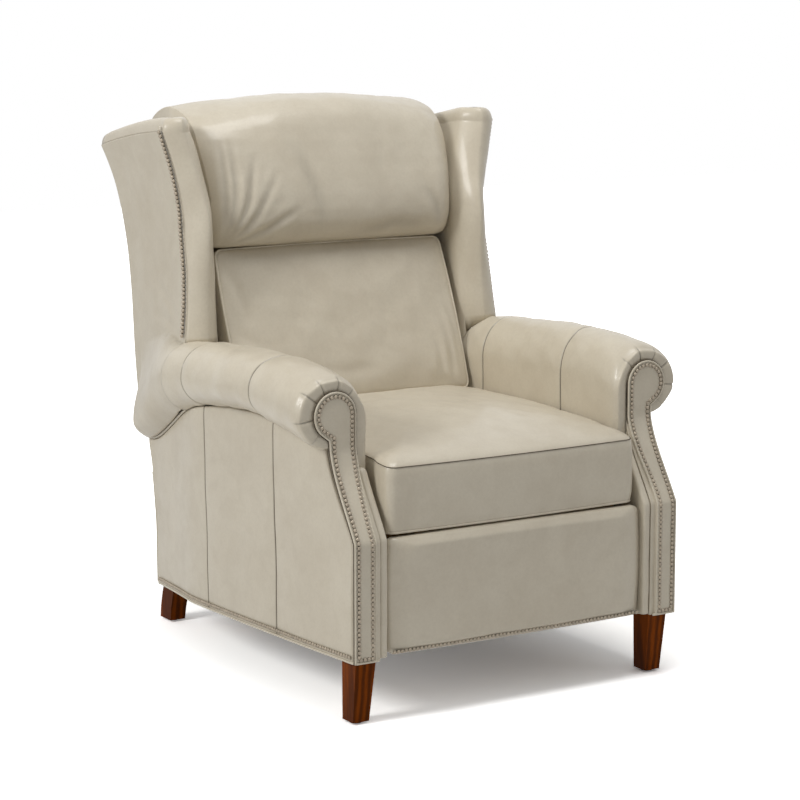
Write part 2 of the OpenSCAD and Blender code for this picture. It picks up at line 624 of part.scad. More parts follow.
// Rear legs: curved back, bolted behind the rear rail
rear_leg_over = 10;
rear_leg_top_z = rear_rail_z + rail_h + rear_leg_over;
rear_leg_d = 46;
rear_leg_front = rear_rail_y + rail_t + lay;
rear_leg_mid_x = rear_leg_x - leg_top_w / 2;
function rear_leg_ring(t) = let (z = mix(glide_t, rear_leg_top_z, t),
    y = rear_leg_front + rear_leg_splay * (1 - pow(t, 1.5)),
    w = mix(leg_foot_w, leg_top_w, t), out = rear_leg_x - leg_side_taper * (1 - t))
    [[out, y, z], [out - w, y, z], [out - w, y + rear_leg_d, z], [out, y + rear_leg_d, z]];
module rear_leg(side) color("saddlebrown") placed() on_side(side) difference() {
    loft([for (i = [0:6]) rear_leg_ring(i / 6)]);
    translate([rear_leg_mid_x, rear_leg_front - over, rear_bolt_z]) rotate([-90, 0, 0])
        cylinder(d = leg_bolt_d + 2 * pin_fit, h = rear_bolt_l - rail_t, $fn = round_sides);
}
module left_rear_leg() rear_leg(-1);
module right_rear_leg() rear_leg(1);

// Glides under the four legs, and the bolts that hold the legs
module leg_glides() color("dimgray") placed() for (side = [-1, 1]) {
    translate([side * (leg_out_foot - leg_foot_w / 2), leg_front_foot + leg_foot_d / 2, 0])
        cylinder(d = glide_d, h = glide_t, $fn = round_sides);
    translate([side * (rear_leg_x - leg_side_taper - leg_foot_w / 2),
        rear_leg_front + rear_leg_splay + rear_leg_d / 2, 0])
        cylinder(d = glide_d, h = glide_t, $fn = round_sides);
}
module leg_bolts() color("silver") placed() for (side = [-1, 1]) {
    translate([side * front_leg_mid[0], front_leg_mid[1], floor_gap - bolt_sink + lay])
        cylinder(d = leg_bolt_d, h = 2 * bolt_sink - 2 * lay, $fn = round_sides);
    translate([side * rear_leg_mid_x, rear_rail_y, rear_bolt_z]) rotate([-90, 0, 0])
        cylinder(d = leg_bolt_d, h = rear_bolt_l - 2 * over, $fn = round_sides);
}

// Steel base rails on the side boards, and the runners that slide in them
rail_y0 = front_rail_y;
rail_short = 110;
rail_l = side_d - rail_y0 - rail_short;
rail_drop = 117;
rail_mid_z = seat_z - rail_drop;
channel_h = 40;
channel_d = wrap_w;
channel_t = 3;
lip_h = 6;
module channel_profile() difference() {
    translate([wrap_in, rail_mid_z - channel_h / 2]) square([channel_d, channel_h]);
    translate([wrap_in + channel_t, rail_mid_z - channel_h / 2 + channel_t])
        square([channel_d - 2 * channel_t, channel_h - 2 * channel_t]);
    translate([wrap_in - over, rail_mid_z - channel_h / 2 + channel_t + lip_h])
        square([channel_t + 2 * over, channel_h - 2 * channel_t - 2 * lip_h]);
}
module along_depth(y, length) {
    translate([0, y + length, 0]) rotate([90, 0, 0]) linear_extrude(length) children();
}
module base_rail(side) color("slategray") placed() on_side(side) along_depth(rail_y0, rail_l) channel_profile();
module left_base_rail() base_rail(-1);
module right_base_rail() base_rail(1);
runner_y0 = rail_y0 + seat_travel + 2 * pass;
runner_share = 0.625;
runner_l = rail_l * runner_share;
runner_gap = 1;
module runner_profile() {
    translate([wrap_in + channel_t + runner_gap, rail_mid_z - channel_h / 2 + channel_t + runner_gap])
        square([channel_d - 2 * channel_t - 2 * runner_gap, channel_h - 2 * channel_t - 2 * runner_gap]);
    translate([plate_out + lay, rail_mid_z - channel_h / 2 + channel_t + lip_h + runner_gap])
        square([wrap_in + channel_t + 2 * runner_gap - plate_out - lay,
            channel_h - 2 * channel_t - 2 * lip_h - 2 * runner_gap]);
}
module runner(side) color("gray") placed() on_side(side) along_depth(runner_y0, runner_l) runner_profile();
module left_runner() runner(-1);
module right_runner() runner(1);

// Layers of the leg rest links, from the seat plate inward
plate_out = wrap_in - pass;
plate_in = plate_out - steel_t;
layer_a = plate_in - pass - steel_t;
layer_b = layer_a - pass - steel_t;

// Pivots of the leg rest, closed: seat, knee, rest, and the two ends of the control link
seat_pivot_y = 150;
seat_pivot_z = 285;
seat_pivot = [seat_pivot_y, seat_pivot_z];
knee_angle = 250;
knee = seat_pivot + long_link * [cos(knee_angle), sin(knee_angle)];
rest_pivot_y = 82;
rest_pivot_z = 274;
rest_pivot = [rest_pivot_y, rest_pivot_z];
control_low_arm = 30;
control_low_turn = 84.8;
control_high_arm = 26;
control_high_turn = 171.31;
control_low = knee + control_low_arm * [cos(knee_angle - control_low_turn), sin(knee_angle - control_low_turn)];
control_high = rest_pivot + control_high_arm * [cos(control_high_turn), sin(control_high_turn)];
open_fit = 0.6;

// Steel side plates of the sliding seat
plate_below = 13;
plate_z0 = rail_mid_z - plate_below;
deck_t = 4;
plate_top = seat_z - deck_t;
plate_y0 = 126;
plate_past = 22;
plate_end = hinge_y + plate_past;
light_hole_d = 44;
light_hole_share = 0.62;
light_hole_count = 3;
module seat_plate(side) color("lightslategray") placed() on_side(side) plate(plate_in, steel_t) difference() {
    polygon([[plate_y0, seat_pivot[1] - link_w], [plate_y0, plate_top], [plate_end, plate_top],
        [plate_end, hinge_z - link_w], [runner_y0 + runner_l + link_w, plate_z0], [runner_y0, plate_z0]]);
    translate(seat_pivot) circle(d = pin_d + 2 * pin_fit, $fn = round_sides);
    translate([hinge_y, hinge_z]) circle(d = pin_d + 2 * pin_fit, $fn = round_sides);
    for (i = [0:light_hole_count - 1]) let (share = (i + 0.5) / light_hole_count)
        translate([mix(runner_y0, hinge_y - link_w, share), mix(plate_z0, plate_top, light_hole_share)])
            circle(d = light_hole_d, $fn = round_sides);
}
module left_seat_plate() seat_plate(-1);
module right_seat_plate() seat_plate(1);

// Wooden seat frame between the plates, its springs and the padded deck
seat_frame_y0 = 92;
seat_frame_d = seat_end - seat_frame_y0;
seat_rail_t = 36;
seat_frame_z = plate_top - seat_rail_h;
seat_half = plate_in - lay;
module seat_frame() color("navajowhite") placed() difference() {
    translate([-seat_half, seat_frame_y0, seat_frame_z]) cube([2 * seat_half, seat_frame_d, seat_rail_h]);
    translate([seat_rail_t - seat_half, seat_frame_y0 + seat_rail_t, seat_frame_z - over])
        cube([2 * (seat_half - seat_rail_t), seat_frame_d - 2 * seat_rail_t, seat_rail_h + 2 * over]);
}
spring_w = 52;
seat_spring_turns = 14;
module seat_springs() color("dimgray") placed() {
    gap = 2 * (seat_half - seat_rail_t) / seat_spring_count;
    spring_y = seat_frame_y0 + seat_rail_t + lay + spring_wire / 2;
    for (i = [0:seat_spring_count - 1])
        translate([(i - (seat_spring_count - 1) / 2) * gap, spring_y, plate_top - spring_wire - lay])
            zigzag(seat_frame_d - 2 * seat_rail_t - 2 * lay - spring_wire, spring_w, seat_spring_turns);
}
module seat_deck() color("gainsboro") placed()
    translate([-seat_half, seat_frame_y0, plate_top + lay])
        cube([2 * seat_half, seat_frame_d, deck_t - 2 * lay]);
seat_round = 34;
boxing_shares = [[0.975, 0], [1, 0.035], [1, 0.5], [1, 0.974]];
crown_shares = [[0.985, 0.06], [0.93, 0.36], [0.82, 0.66], [0.64, 0.88], [0.4, 0.98], [0.15, 1]];
module seat_cushion() color("seashell") placed() translate([0, seat_y + seat_d / 2, seat_z])
    cushion(seat_w, seat_d, seat_round, concat([for (s = boxing_shares) [s[0], seat_boxing * s[1]]],
        [for (s = crown_shares) [s[0], seat_boxing + seat_crown * s[1]]]));

// Reclining back: two boards joined by three rails, on steel brackets
lean_angle = atan(back_lean);
function cushion_back_y(z) = back_y + back_t / cos(lean_angle) + back_lean * (z - back_foot_z);
bracket_out = plate_in - pass;
bracket_in = bracket_out - steel_t;
stile_out = bracket_in - lay;
tail_gap = 5;
tail_r = rear_panel_y - rear_panel_t - hinge_y - tail_gap;
tail_drop = 34;
tail_low_z = hinge_z - tail_drop;
tail_top_z = hinge_z + tail_r * sin(recline);
tail_blend = 80;
function tail_y(z) = hinge_y + sqrt(pow(tail_r, 2) - pow(min(z, tail_top_z) - hinge_z, 2));
function blend_share(z) = let (t = min(max((z - tail_top_z) / tail_blend, 0), 1)) pow(t, 2) * (3 - 2 * t);
function back_rear_y(z) = mix(tail_y(z),
    rear_edge_y(z) - back_set_in_share * max(z - waist_z, 0), blend_share(z));
back_set_in_share = 0.05;
outside_t = 8;
back_top_share = 0.662;
back_top_z = pillow_z + pillow_h * back_top_share;
back_top_drop = chair_h - back_top_z;
stile_foot_rise = 6;
function back_front_y(z) = max(cushion_back_y(z) + pass, seat_end + pass);
module stile_outline() polygon(concat(
    [[hinge_y - stile_t, tail_low_z + stile_foot_rise]],
    [for (z = outside_levels) [back_rear_y(z) - outside_t - lay, max(z, tail_low_z + stile_foot_rise)]],
    [for (i = [0:6]) let (z = mix(back_top_z, back_foot_z, i / 6)) [back_front_y(z), z]],
    [[seat_end + pass, back_foot_z - stile_t], [seat_end + pass, seat_z]]));
back_rail_d = 26;
back_rail_h = 40;
function back_rail_places() = [for (z = [hinge_z + back_rail_h, pillow_z - back_rail_h, back_top_z - back_rail_h])
    [back_front_y(z + back_rail_h) + pass, z]];
module back_frame() color("khaki") placed() {
    for (side = [-1, 1]) on_side(side) difference() {
        plate(stile_out - stile_t, stile_t) stile_outline();
        cross_bar(stile_out - pin_d, pin_d + over, [hinge_y, hinge_z], 2 * pin_d);
    }
    for (place = back_rail_places()) translate([stile_t - stile_out, place[0], place[1]])
        cube([2 * (stile_out - stile_t), back_rail_d, back_rail_h]);
}
back_spring_count = 4;
back_spring_turns = 10;
module back_springs() color("darkslategray") placed() {
    foot = back_rail_places()[0];
    head = back_rail_places()[1];
    rise = head[1] - foot[1] - back_rail_h;
    run = rise / (cos(lean_angle));
    gap = 2 * (stile_out - stile_t) / back_spring_count;
    for (i = [0:back_spring_count - 1])
        translate([(i - (back_spring_count - 1) / 2) * gap, foot[0] + back_rail_d / 2,
            foot[1] + back_rail_h + lay + spring_wire / 2])
            rotate([90 - lean_angle, 0, 0]) zigzag(run - spring_wire - pass, spring_w, back_spring_turns);
}
bracket_back = 62;
bracket_rise = 126;
bracket_w = 30;
bracket_places = [[hinge_y, hinge_z], [hinge_y + bracket_back, hinge_z + bracket_rise]];
module back_bracket(side) color("steelblue") placed() on_side(side) plate(bracket_in, steel_t) difference() {
    link_bar(bracket_places, bracket_w);
    translate(bracket_places[0]) circle(d = pin_d + 2 * pin_fit, $fn = round_sides);
}
module left_back_bracket() back_bracket(-1);
module right_back_bracket() back_bracket(1);

back_round = 26;
module lower_back_cushion() color("floralwhite") placed() {
    length = (pillow_z - back_foot_z) / cos(lean_angle);
    translate([0, back_y + back_t * cos(lean_angle), back_foot_z - back_t * sin(lean_angle)])
        rotate([90 - lean_angle, 0, 0]) translate([0, length / 2, 0])
            cushion(back_w, length, back_round, [for (s = back_shares) [s[0], back_t * s[1]]]);
}
back_shares = [[0.96, 0], [1, 0.06], [1, 0.5], [1, 0.72], [0.985, 0.8], [0.92, 0.9], [0.78, 0.96],
    [0.55, 0.99], [0.2, 1]];

// Head pillow: a roll over the top of the back, arched across its width and drawn in at its ends
pillow_foot_y = cushion_back_y(pillow_z);
pillow_rise = chair_h - pillow_z - lay;
// Shares of the pillow's height, and of its depth behind the seam's front, round its section
pillow_set_back = 82;
pillow_front_y = back_y + pillow_set_back;
pillow_rear_in = 42.5;
pillow_d = rear_edge_y(back_top_z) - pillow_rear_in - pillow_front_y;
pillow_mid_share = 0.42;
pillow_shares = [[0.20, 0.004], [0.10, 0.05], [0.03, 0.13], [0, 0.22], [0.012, 0.36], [0.06, 0.52], [0.13, 0.70],
    [0.21, 0.86], [0.31, 0.96], [0.43, 1], [0.58, 0.985], [0.73, 0.92], [0.87, 0.82], [0.985, 0.70],
    [0.985, 0.69], [0.75, 0.685]];
function pillow_section() = concat(
    [for (p = pillow_shares) [pillow_front_y + pillow_d * p[0], pillow_z + lay + pillow_rise * p[1]]],
    [for (z = [back_top_z, pillow_z + pass]) [cushion_back_y(z) - lay, z]]);
pillow_x_shares = [-1, -0.985, -0.93, -0.82, -0.6, -0.3, 0, 0.3, 0.6, 0.82, 0.93, 0.985, 1];
pillow_inset_shares = [0.11, 0.05, 0.015, 0, 0, 0, 0, 0, 0, 0, 0.015, 0.05, 0.11];
pillow_arch = 36;
function pillow_ring(i) = let (x = pillow_x_shares[i] * pillow_w / 2, inset = pillow_inset_shares[i],
    drop = pillow_arch * pow(pillow_x_shares[i], 2), mid_y = pillow_front_y + pillow_d * pillow_mid_share)
    [for (p = pillow_section()) let (high = max(p[1] - back_top_z, 0) / back_top_drop)
        [x, p[0] < mid_y ? mix(p[0], mid_y, inset) : p[0], p[1] - high * (drop + inset * back_top_drop)]];
module head_pillow() color("oldlace") placed() loft([for (i = [0:len(pillow_x_shares) - 1]) pillow_ring(i)]);

// Outside panel of the reclining back, with a round tail that turns behind the fixed panel
outside_levels = concat([for (i = [0:6]) mix(tail_low_z, tail_top_z, i / 6)],
    [for (i = [1:4]) tail_top_z + tail_blend * i / 4],
    [for (i = [1:8]) mix(tail_top_z + tail_blend, back_top_z, i / 8)]);
outside_columns = [for (i = [-3:3]) i / 3];
outside_crown = 6;
function outside_grid(inset) = [for (s = outside_columns) [for (z = outside_levels)
    [s * stile_out, back_rear_y(z) - inset + outside_crown * (1 - pow(s, 2)) * blend_share(z), z]]];
module outside_back_panel() color("linen") placed() slab(outside_grid(0), outside_grid(outside_t));

// Pins fixed in the seat plates: leg rest pivots and back hinges
head_t = 1.5;
head_out = 2.5;
pin_proud = 0.1;
module pin(x, length, place) {
    cross_bar(x, length, place, pin_d);
    cross_bar(x + length, head_t, place, pin_d + 2 * head_out);
}
module back_hinge_pins() color("silver") placed() for (side = [-1, 1]) on_side(side) {
    pin(bracket_in - pass, plate_out + pin_proud - bracket_in + pass, bracket_places[0]);
    pin(layer_a - pass / 2, plate_out + pin_proud - layer_a + pass / 2, seat_pivot);
}

// Long links, their cross tube and the pins they carry
tube_arm = 32;
tube_place = seat_pivot + tube_arm * [cos(knee_angle), sin(knee_angle)];
tube_d = 20;
tube_wall = 2;
module drilled(x) {
    plate(x, steel_t) difference() {
        union() children([1:$children - 1]);
        children(0);
    }
}
module holes(places, fit) {
    for (place = places) translate(place) circle(d = pin_d + 2 * fit, $fn = round_sides);
}
module long_link_piece(side) color("darkorange") placed() on_side(side) drilled(layer_a) {
    holes([seat_pivot, knee, control_low], pin_fit);
    link_bar([seat_pivot, knee, control_low], link_w);
}
module left_long_link() long_link_piece(-1);
module right_long_link() long_link_piece(1);
module torque_tube() color("orange") placed() difference() {
    cross_bar(lay - layer_a, 2 * (layer_a - lay), tube_place, tube_d);
    cross_bar(-layer_a, 2 * layer_a, tube_place, tube_d - 2 * tube_wall);
}
module long_link_pins() color("silver") placed() for (side = [-1, 1]) on_side(side) {
    cross_bar(layer_b - head_t, layer_a + steel_t - layer_b + head_t + pass / 2, knee, pin_d);
    cross_bar(layer_a - pass / 2, plate_out - layer_a + pass / 2 + over / 2, control_low, pin_d);
}

// Knee links, their cross tube and the pins that carry the leg rest
knee_tube_place = (knee + rest_pivot) / 2;
module knee_link(side) color("gold") placed() on_side(side) drilled(layer_b) {
    holes([knee, rest_pivot], pin_fit);
    link_bar([knee, rest_pivot], link_w);
}
module left_knee_link() knee_link(-1);
module right_knee_link() knee_link(1);
module knee_tube() color("khaki") placed() difference() {
    cross_bar(lay - layer_b, 2 * (layer_b - lay), knee_tube_place, tube_d - tube_wall);
    cross_bar(-layer_b, 2 * layer_b, knee_tube_place, tube_d - 3 * tube_wall);
}
module knee_pins() color("silver") placed() for (side = [-1, 1]) on_side(side)
    cross_bar(layer_b - head_t, layer_a + steel_t - layer_b + head_t + pass / 2, rest_pivot, pin_d);

// Control links: they turn the leg rest, with play at their upper pivot
module control_link(side) color("tomato") placed() on_side(side) drilled(plate_in) {
    union() {
        holes([control_low], pin_fit);
        holes([control_high], open_fit);
    }
    link_bar([control_low, control_high], link_w * bar_share);
}
module left_control_link() control_link(-1);
module right_control_link() control_link(1);

// Leg rest: board, padding, brackets and the pins of the control links
rest_front_y = 8;
rest_lift = 1;
rest_low_z = bottom_z(0) + rest_lift;
rest_top_gap = 11;
rest_h = seat_z - rest_top_gap - rest_low_z;
board_y = rest_front_y + rest_pad_t + lay;
board_in = 4;
board_top_in = 14;
module rest_board() color("burlywood") placed() translate([board_in - rest_w / 2, board_y, rest_low_z + board_in])
    cube([rest_w - 2 * board_in, rest_board_t, rest_h - board_in - board_top_in]);
rest_round = 20;
rest_shares = [[0.975, 0], [1, 0.13], [1, 0.4], [0.985, 0.7], [0.93, 0.9], [0.8, 0.97], [0.5, 1]];
module rest_pad() color("mistyrose") placed() translate([0, board_y - lay, rest_low_z + rest_h / 2])
    rotate([90, 0, 0]) cushion(rest_w, rest_h, rest_round, [for (s = rest_shares) [s[0], rest_pad_t * s[1]]]);
bracket_y0 = board_y + rest_board_t + lay;
flange_t = 3;
flange_w = 14;
rest_bracket_h = 90;
rest_bracket_z = control_high[1] - rest_bracket_h * 2 / 3;
module rest_bracket(side) color("indianred") placed() on_side(side) {
    drilled(layer_a) {
        holes([rest_pivot, control_high], pin_fit);
        intersection() {
            union() {
                link_bar([rest_pivot, control_high], link_w);
                translate([bracket_y0, rest_bracket_z]) square([link_w / 2, rest_bracket_h]);
            }
            translate([bracket_y0, 0]) square([rest_pivot[0] + link_w, chair_h]);
        }
    }
    translate([layer_b - flange_w, bracket_y0, rest_bracket_z])
        cube([layer_a - layer_b + flange_w, flange_t, rest_bracket_h]);
}
module left_rest_bracket() rest_bracket(-1);
module right_rest_bracket() rest_bracket(1);
module bracket_pins() color("silver") placed() for (side = [-1, 1]) on_side(side)
    cross_bar(layer_a, plate_out - layer_a + over / 2, control_high, pin_d);

left_side_board();
right_side_board();
front_cross_rail();
rear_cross_rail();
left_wing_frame();
right_wing_frame();
left_arm_pad();
right_arm_pad();
left_rear_roll();
right_rear_roll();
left_outside_panel();
right_outside_panel();
left_front_panel();
right_front_panel();
left_front_wrap();
right_front_wrap();
left_wing_pad();
right_wing_pad();
left_wing_panel();
right_wing_panel();
lower_rear_panel();
left_front_leg();
right_front_leg();
left_rear_leg();
right_rear_leg();
leg_glides();
leg_bolts();
left_base_rail();
right_base_rail();
left_seat_plate();
right_seat_plate();
left_runner();
right_runner();
seat_frame();
seat_springs();
seat_deck();
seat_cushion();
back_frame();
back_springs();
left_back_bracket();
right_back_bracket();
lower_back_cushion();
head_pillow();
outside_back_panel();
back_hinge_pins();
left_long_link();
right_long_link();
torque_tube();
long_link_pins();
left_knee_link();
right_knee_link();
knee_tube();
knee_pins();
left_control_link();
right_control_link();
rest_board();
rest_pad();
left_rest_bracket();
right_rest_bracket();
bracket_pins();
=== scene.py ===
"""Looks of a wingback recliner: leather, seams, welts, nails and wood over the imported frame."""

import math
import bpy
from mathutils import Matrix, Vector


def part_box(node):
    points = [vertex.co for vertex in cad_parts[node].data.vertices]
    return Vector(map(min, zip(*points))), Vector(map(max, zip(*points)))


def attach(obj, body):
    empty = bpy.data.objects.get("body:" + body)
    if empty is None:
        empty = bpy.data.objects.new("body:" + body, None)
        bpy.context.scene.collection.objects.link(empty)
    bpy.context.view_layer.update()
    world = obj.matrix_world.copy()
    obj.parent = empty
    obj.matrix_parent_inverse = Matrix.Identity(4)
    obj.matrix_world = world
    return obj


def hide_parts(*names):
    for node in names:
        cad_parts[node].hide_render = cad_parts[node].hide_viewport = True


bl_info = {
    "name": "Wingback recliner",
    "version": (1, 0, 0),
    "blender": (4, 5, 0),
    "location": "3D View > Sidebar > Recliner",
    "description": "Builds the leather, seams, nails and wood of a wingback recliner",
    "category": "Add Mesh",
}

import bmesh
import bpy
import numpy as np
from mathutils import Vector

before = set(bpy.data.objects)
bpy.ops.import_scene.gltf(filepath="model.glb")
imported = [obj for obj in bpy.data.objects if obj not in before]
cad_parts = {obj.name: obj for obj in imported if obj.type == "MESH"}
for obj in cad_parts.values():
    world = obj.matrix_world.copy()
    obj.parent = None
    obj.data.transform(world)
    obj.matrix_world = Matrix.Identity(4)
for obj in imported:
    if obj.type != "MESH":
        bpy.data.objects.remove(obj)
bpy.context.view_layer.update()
MM = 0.001
SIDES = {"left": -1, "right": 1}


# Main sizes in millimetres: x from the middle outward, y back from the front panels, z from the floor

LEG_TOP = 121  # lower edge of the sides at the front
SEAT_FOOT = 352  # underside of the seat cushion
SEAT_FRONT, SEAT_LENGTH = 17, 623
HALF_WIDTH = 360  # outside of the sides
SIDE_LENGTH = 822  # of the outside panels along the floor
ARM_FRONT, ARM_LENGTH, ARM_HEIGHT = 96.3, 632, 648  # front of the roll, where the wing starts, top of the roll
ROLL_FOOT = 534  # highest line under the arm's roll
ROLL_X, ROLL_Z = 350, 560  # middle of the scroll at the arm's front
SCROLL_RADIUS = 42
FACING_DEPTH = 12.6  # from the nailed panels' front to the start of the sides
INNER_FALL, OUTER_FALL = 84, 66  # from the arm's crest to the roll's middle, on both sides
WING_FOOT, WING_BEND, WING_TOP = 620, 873, 1036
CHAIR_TOP = 1044  # where the rear edge ends
BACK_LEAN = math.atan(0.4)
BACK_Y, BACK_FOOT = 560, 503  # front lower edge of the back cushion
CUSHION_DEPTH = 84  # of the back cushion
REAR_TOP_Z = 1004  # of the outside back
TAIL_Y, TAIL_Z = 700, 334  # middle of the outside back's round tail
REAR_Y = 910  # outside of the lower rear panel
ARM_SEAMS = (270.0, 544.0)  # places of the two seams across each arm
SIDE_SEAM_SHARES = (0.26, 0.6)  # of the outside panel's width in the mesh, below the arm's seams
SEAM_RADIUS = 0.75


# Profiles: tables of (share along, share of the size)


def eased(at, table, reach=24.0):
    """Averages a table around a place, which rounds its corners."""
    xs, ys = np.array(table, float).T
    return (np.interp(at - reach, xs, ys) + 2 * np.interp(at, xs, ys) + np.interp(at + reach, xs, ys)) / 4


def scaled(shares, along, size):
    """A table of shares in millimetres."""
    return [(a * along, b * size) for a, b in shares]


def mix(a, b, t):
    return a + (b - a) * t


def points_of(*coordinates):
    """Points from their coordinates, each of them a number or an array."""
    return np.stack(np.broadcast_arrays(*coordinates), axis=-1)


def bottom_z(y):
    """Lower edge of the sides, which falls toward the rear."""
    return LEG_TOP - 20 * (np.maximum(y, 0) / SIDE_LENGTH) ** 2


def facing_y(z):
    """Front of the nailed panels, which lean back under the arm's scroll."""
    s = np.clip((z - 340) / 158, 0, 1)
    return 84 * s * (1 + 0.65 * s * (1 - s))


REAR_EDGE = [(0, 0), (0.221, 0.038), (0.3, 0.094), (0.381, 0.23), (0.455, 0.404), (0.549, 0.484),
             (0.657, 0.531), (0.724, 0.587), (0.81, 0.69), (0.9, 0.817), (1, 1)]
BOW = [(0, 0), (0.08, 0.3), (0.21, 0.72), (0.43, 1), (0.62, 0.92), (0.74, 0.7), (0.85, 0.2)]
DRAW_IN = [(0, 0), (0.74, 0), (0.85, 0.3), (0.94, 0.7), (1, 1)]
CREST = [(0.14, 0.955), (0.152, 0.967), (0.161, 0.973), (0.177, 0.977), (0.206, 0.982), (0.253, 0.989),
         (0.35, 0.997), (0.43, 1), (0.55, 1), (0.71, 0.991), (0.866, 0.985), (0.95, 0.973), (1, 0.968)]
ROLL_OUT = [(0.14, 0.9), (0.146, 0.94), (0.152, 0.965), (0.161, 0.99), (0.177, 1),
            (0.6, 1), (0.866, 0.95), (1, 0.88)]
UNDER = [(0.14, 0.93), (0.16, 0.937), (0.2, 0.948), (0.27, 0.962), (0.425, 0.987), (0.53, 1), (0.69, 0.99),
         (0.85, 0.968), (0.95, 0.945), (1.03, 0.91), (1.13, 0.85), (1.23, 0.79), (1.32, 0.748)]
INSIDE = [(0.14, 0.36), (0.152, 0.17), (0.158, 0.08), (0.177, 0.0), (0.206, 0)]
REAR_TOP = [(0, 0.955), (0.3, 0.96), (0.6, 0.93), (1, 0.87)]
REAR_MID = [(0, 0.865), (0.3, 0.82), (0.6, 0.745), (1, 0.67)]


def rear_edge_y(z):
    """Rear edge of the sides and the back, which leans out above the arms."""
    return SIDE_LENGTH + eased(z, scaled(REAR_EDGE, CHAIR_TOP, 175))


MIDDLE = rear_edge_y(WING_TOP) / 2


def side_x(y):
    """Outside of the leather below the arms, bowed out and drawn in at the rear."""
    return HALF_WIDTH + 16 * eased(y, scaled(BOW, SIDE_LENGTH, 1)) - 28 * eased(y, scaled(DRAW_IN, SIDE_LENGTH, 1))


def crest_z(y):
    return eased(y, scaled(CREST, ARM_LENGTH, ARM_HEIGHT), 6)


def roll_x(y):
    """Outside of the arm's roll."""
    return HALF_WIDTH + 68 * eased(y, scaled(ROLL_OUT, ARM_LENGTH, 1), 6)


def under_z(y):
    """Line where the arm's roll meets the side below it."""
    return eased(y, scaled(UNDER, ARM_LENGTH, ROLL_FOOT))


def inside_x(y):
    return 278 + 27 * eased(y, scaled(INSIDE, ARM_LENGTH, 1), 4)


def above_bend(z, end=CHAIR_TOP):
    """Share of the way up from the wing's bend, 0 below it."""
    return np.maximum(z - WING_BEND, 0) / (end - WING_BEND)


def flared(z, middle, high, low):
    """An outside line that is narrowest at the wing's bend."""
    below = (WING_BEND - np.clip(z, WING_FOOT, WING_BEND)) / (WING_BEND - WING_FOOT)
    return np.where(z > WING_BEND, middle + high, middle + low * below**2)


def wing_front_x(z):
    return flared(z, 351, 35 * above_bend(z, WING_TOP) ** 1.3, 17)


def wing_board_x(share, z):
    """Outside of the wing's wooden frame, which the leather stands a little clear of."""
    return mix(flared(z, 347, 39 * above_bend(z) ** 2, 21), wing_rear_edge_x(z), share) - 6.3


def wing_swell(z):
    """How far the wing's front roll is fuller, around the height of the pillow's foot."""
    return np.exp(-(((z - 855) / 80) ** 2))


def wing_front_y(z):
    """Front of the wing, which leans back more above its bend."""
    lean = 0.0711 * (z - WING_FOOT)
    return ARM_LENGTH + lean + 0.116 * 22 * np.logaddexp(0, (z - WING_BEND) / 22) + 13.5 * wing_swell(z)


def wing_rear_edge_x(z):
    return 341 + 27 * (np.maximum(z - 773, 0) / 271) ** 1.6


def wing_x(share, z):
    return mix(wing_front_x(z), wing_rear_edge_x(z), share)


def wing_y(share, z):
    return mix(wing_front_y(z), rear_edge_y(z), share)


def wing_fall_at(share, z):
    """How far the wing's top falls toward its rear."""
    return 46 * share**1.5 * above_bend(z) ** 1.5


def wing_inside_x(z):
    return 286 + 34 * above_bend(z) ** 1.7


def facing_inner_x(z):
    """Inner edge of the nailed front panel, which is narrower toward the floor."""
    t = np.clip((496 - z) / 150, 0, 1)
    return 308 + 9 * t**2 * (3 - 2 * t)


def wing_nail_inset(z):
    """Distance of the wing's nail row from its front line."""
    return 2.6 + 2.2 * np.clip((1030 - z) / 160, 0, 1)


def metres(points):
    """Points in millimetres, moved to the chair's middle, in metres."""
    out = np.array(points, float) * MM
    out[..., 1] -= MIDDLE * MM
    return out


# Mesh helpers


def spaced(start, end, step, marks):
    """Places from start to end, closer together at the marks."""
    offsets = (0.7, 1.6, 3, 5.5)
    count = max(int(round(abs(end - start) / step)), 1)
    values = list(np.linspace(start, end, count + 1))
    for mark in marks:
        near = [mark] + [mark + s * o for o in offsets for s in (-1, 1)]
        values = [v for v in values if abs(v - mark) > offsets[-1] * 1.2 or v in (start, end)]
        values += [v for v in near if start < v < end]
    return np.array(sorted(set(np.round(values, 4))))


def normals_of(grid):
    """Unit normals of a grid of points, the cross of its row and column directions."""
    across = np.cross(np.gradient(grid, axis=0), np.gradient(grid, axis=1))
    size = np.linalg.norm(across, axis=2, keepdims=True)
    return across / np.maximum(size, 1e-9)


def reach_along(grid, axis):
    """Length along a grid's rows or columns from its start."""
    step = np.linalg.norm(np.diff(grid, axis=axis), axis=2)
    total = np.cumsum(step, axis=axis)
    pad = [(1, 0), (0, 0)] if axis == 0 else [(0, 0), (1, 0)]
    return np.pad(total, pad)


def edge_distance(grid):
    """Distance of each point of a grid from its nearest edge."""
    down, along = reach_along(grid, 0), reach_along(grid, 1)
    return np.min([down, down[-1:] - down, along, along[:, -1:] - along], axis=0)


def ripple(points, size, seed, octaves=3):
    """Smooth seeded unevenness between about -1 and 1, size in millimetres."""
    chance = np.random.default_rng(seed)
    total = np.zeros(points.shape[:-1])
    for k in range(octaves):
        for _ in range(5):
            way = chance.normal(size=3)
            way *= 2 * math.pi / (size * 0.55**k) / np.linalg.norm(way)
            total += np.sin(points @ way + chance.uniform(0, 6.28)) * 0.6**k
    return total / (5 * 0.8)


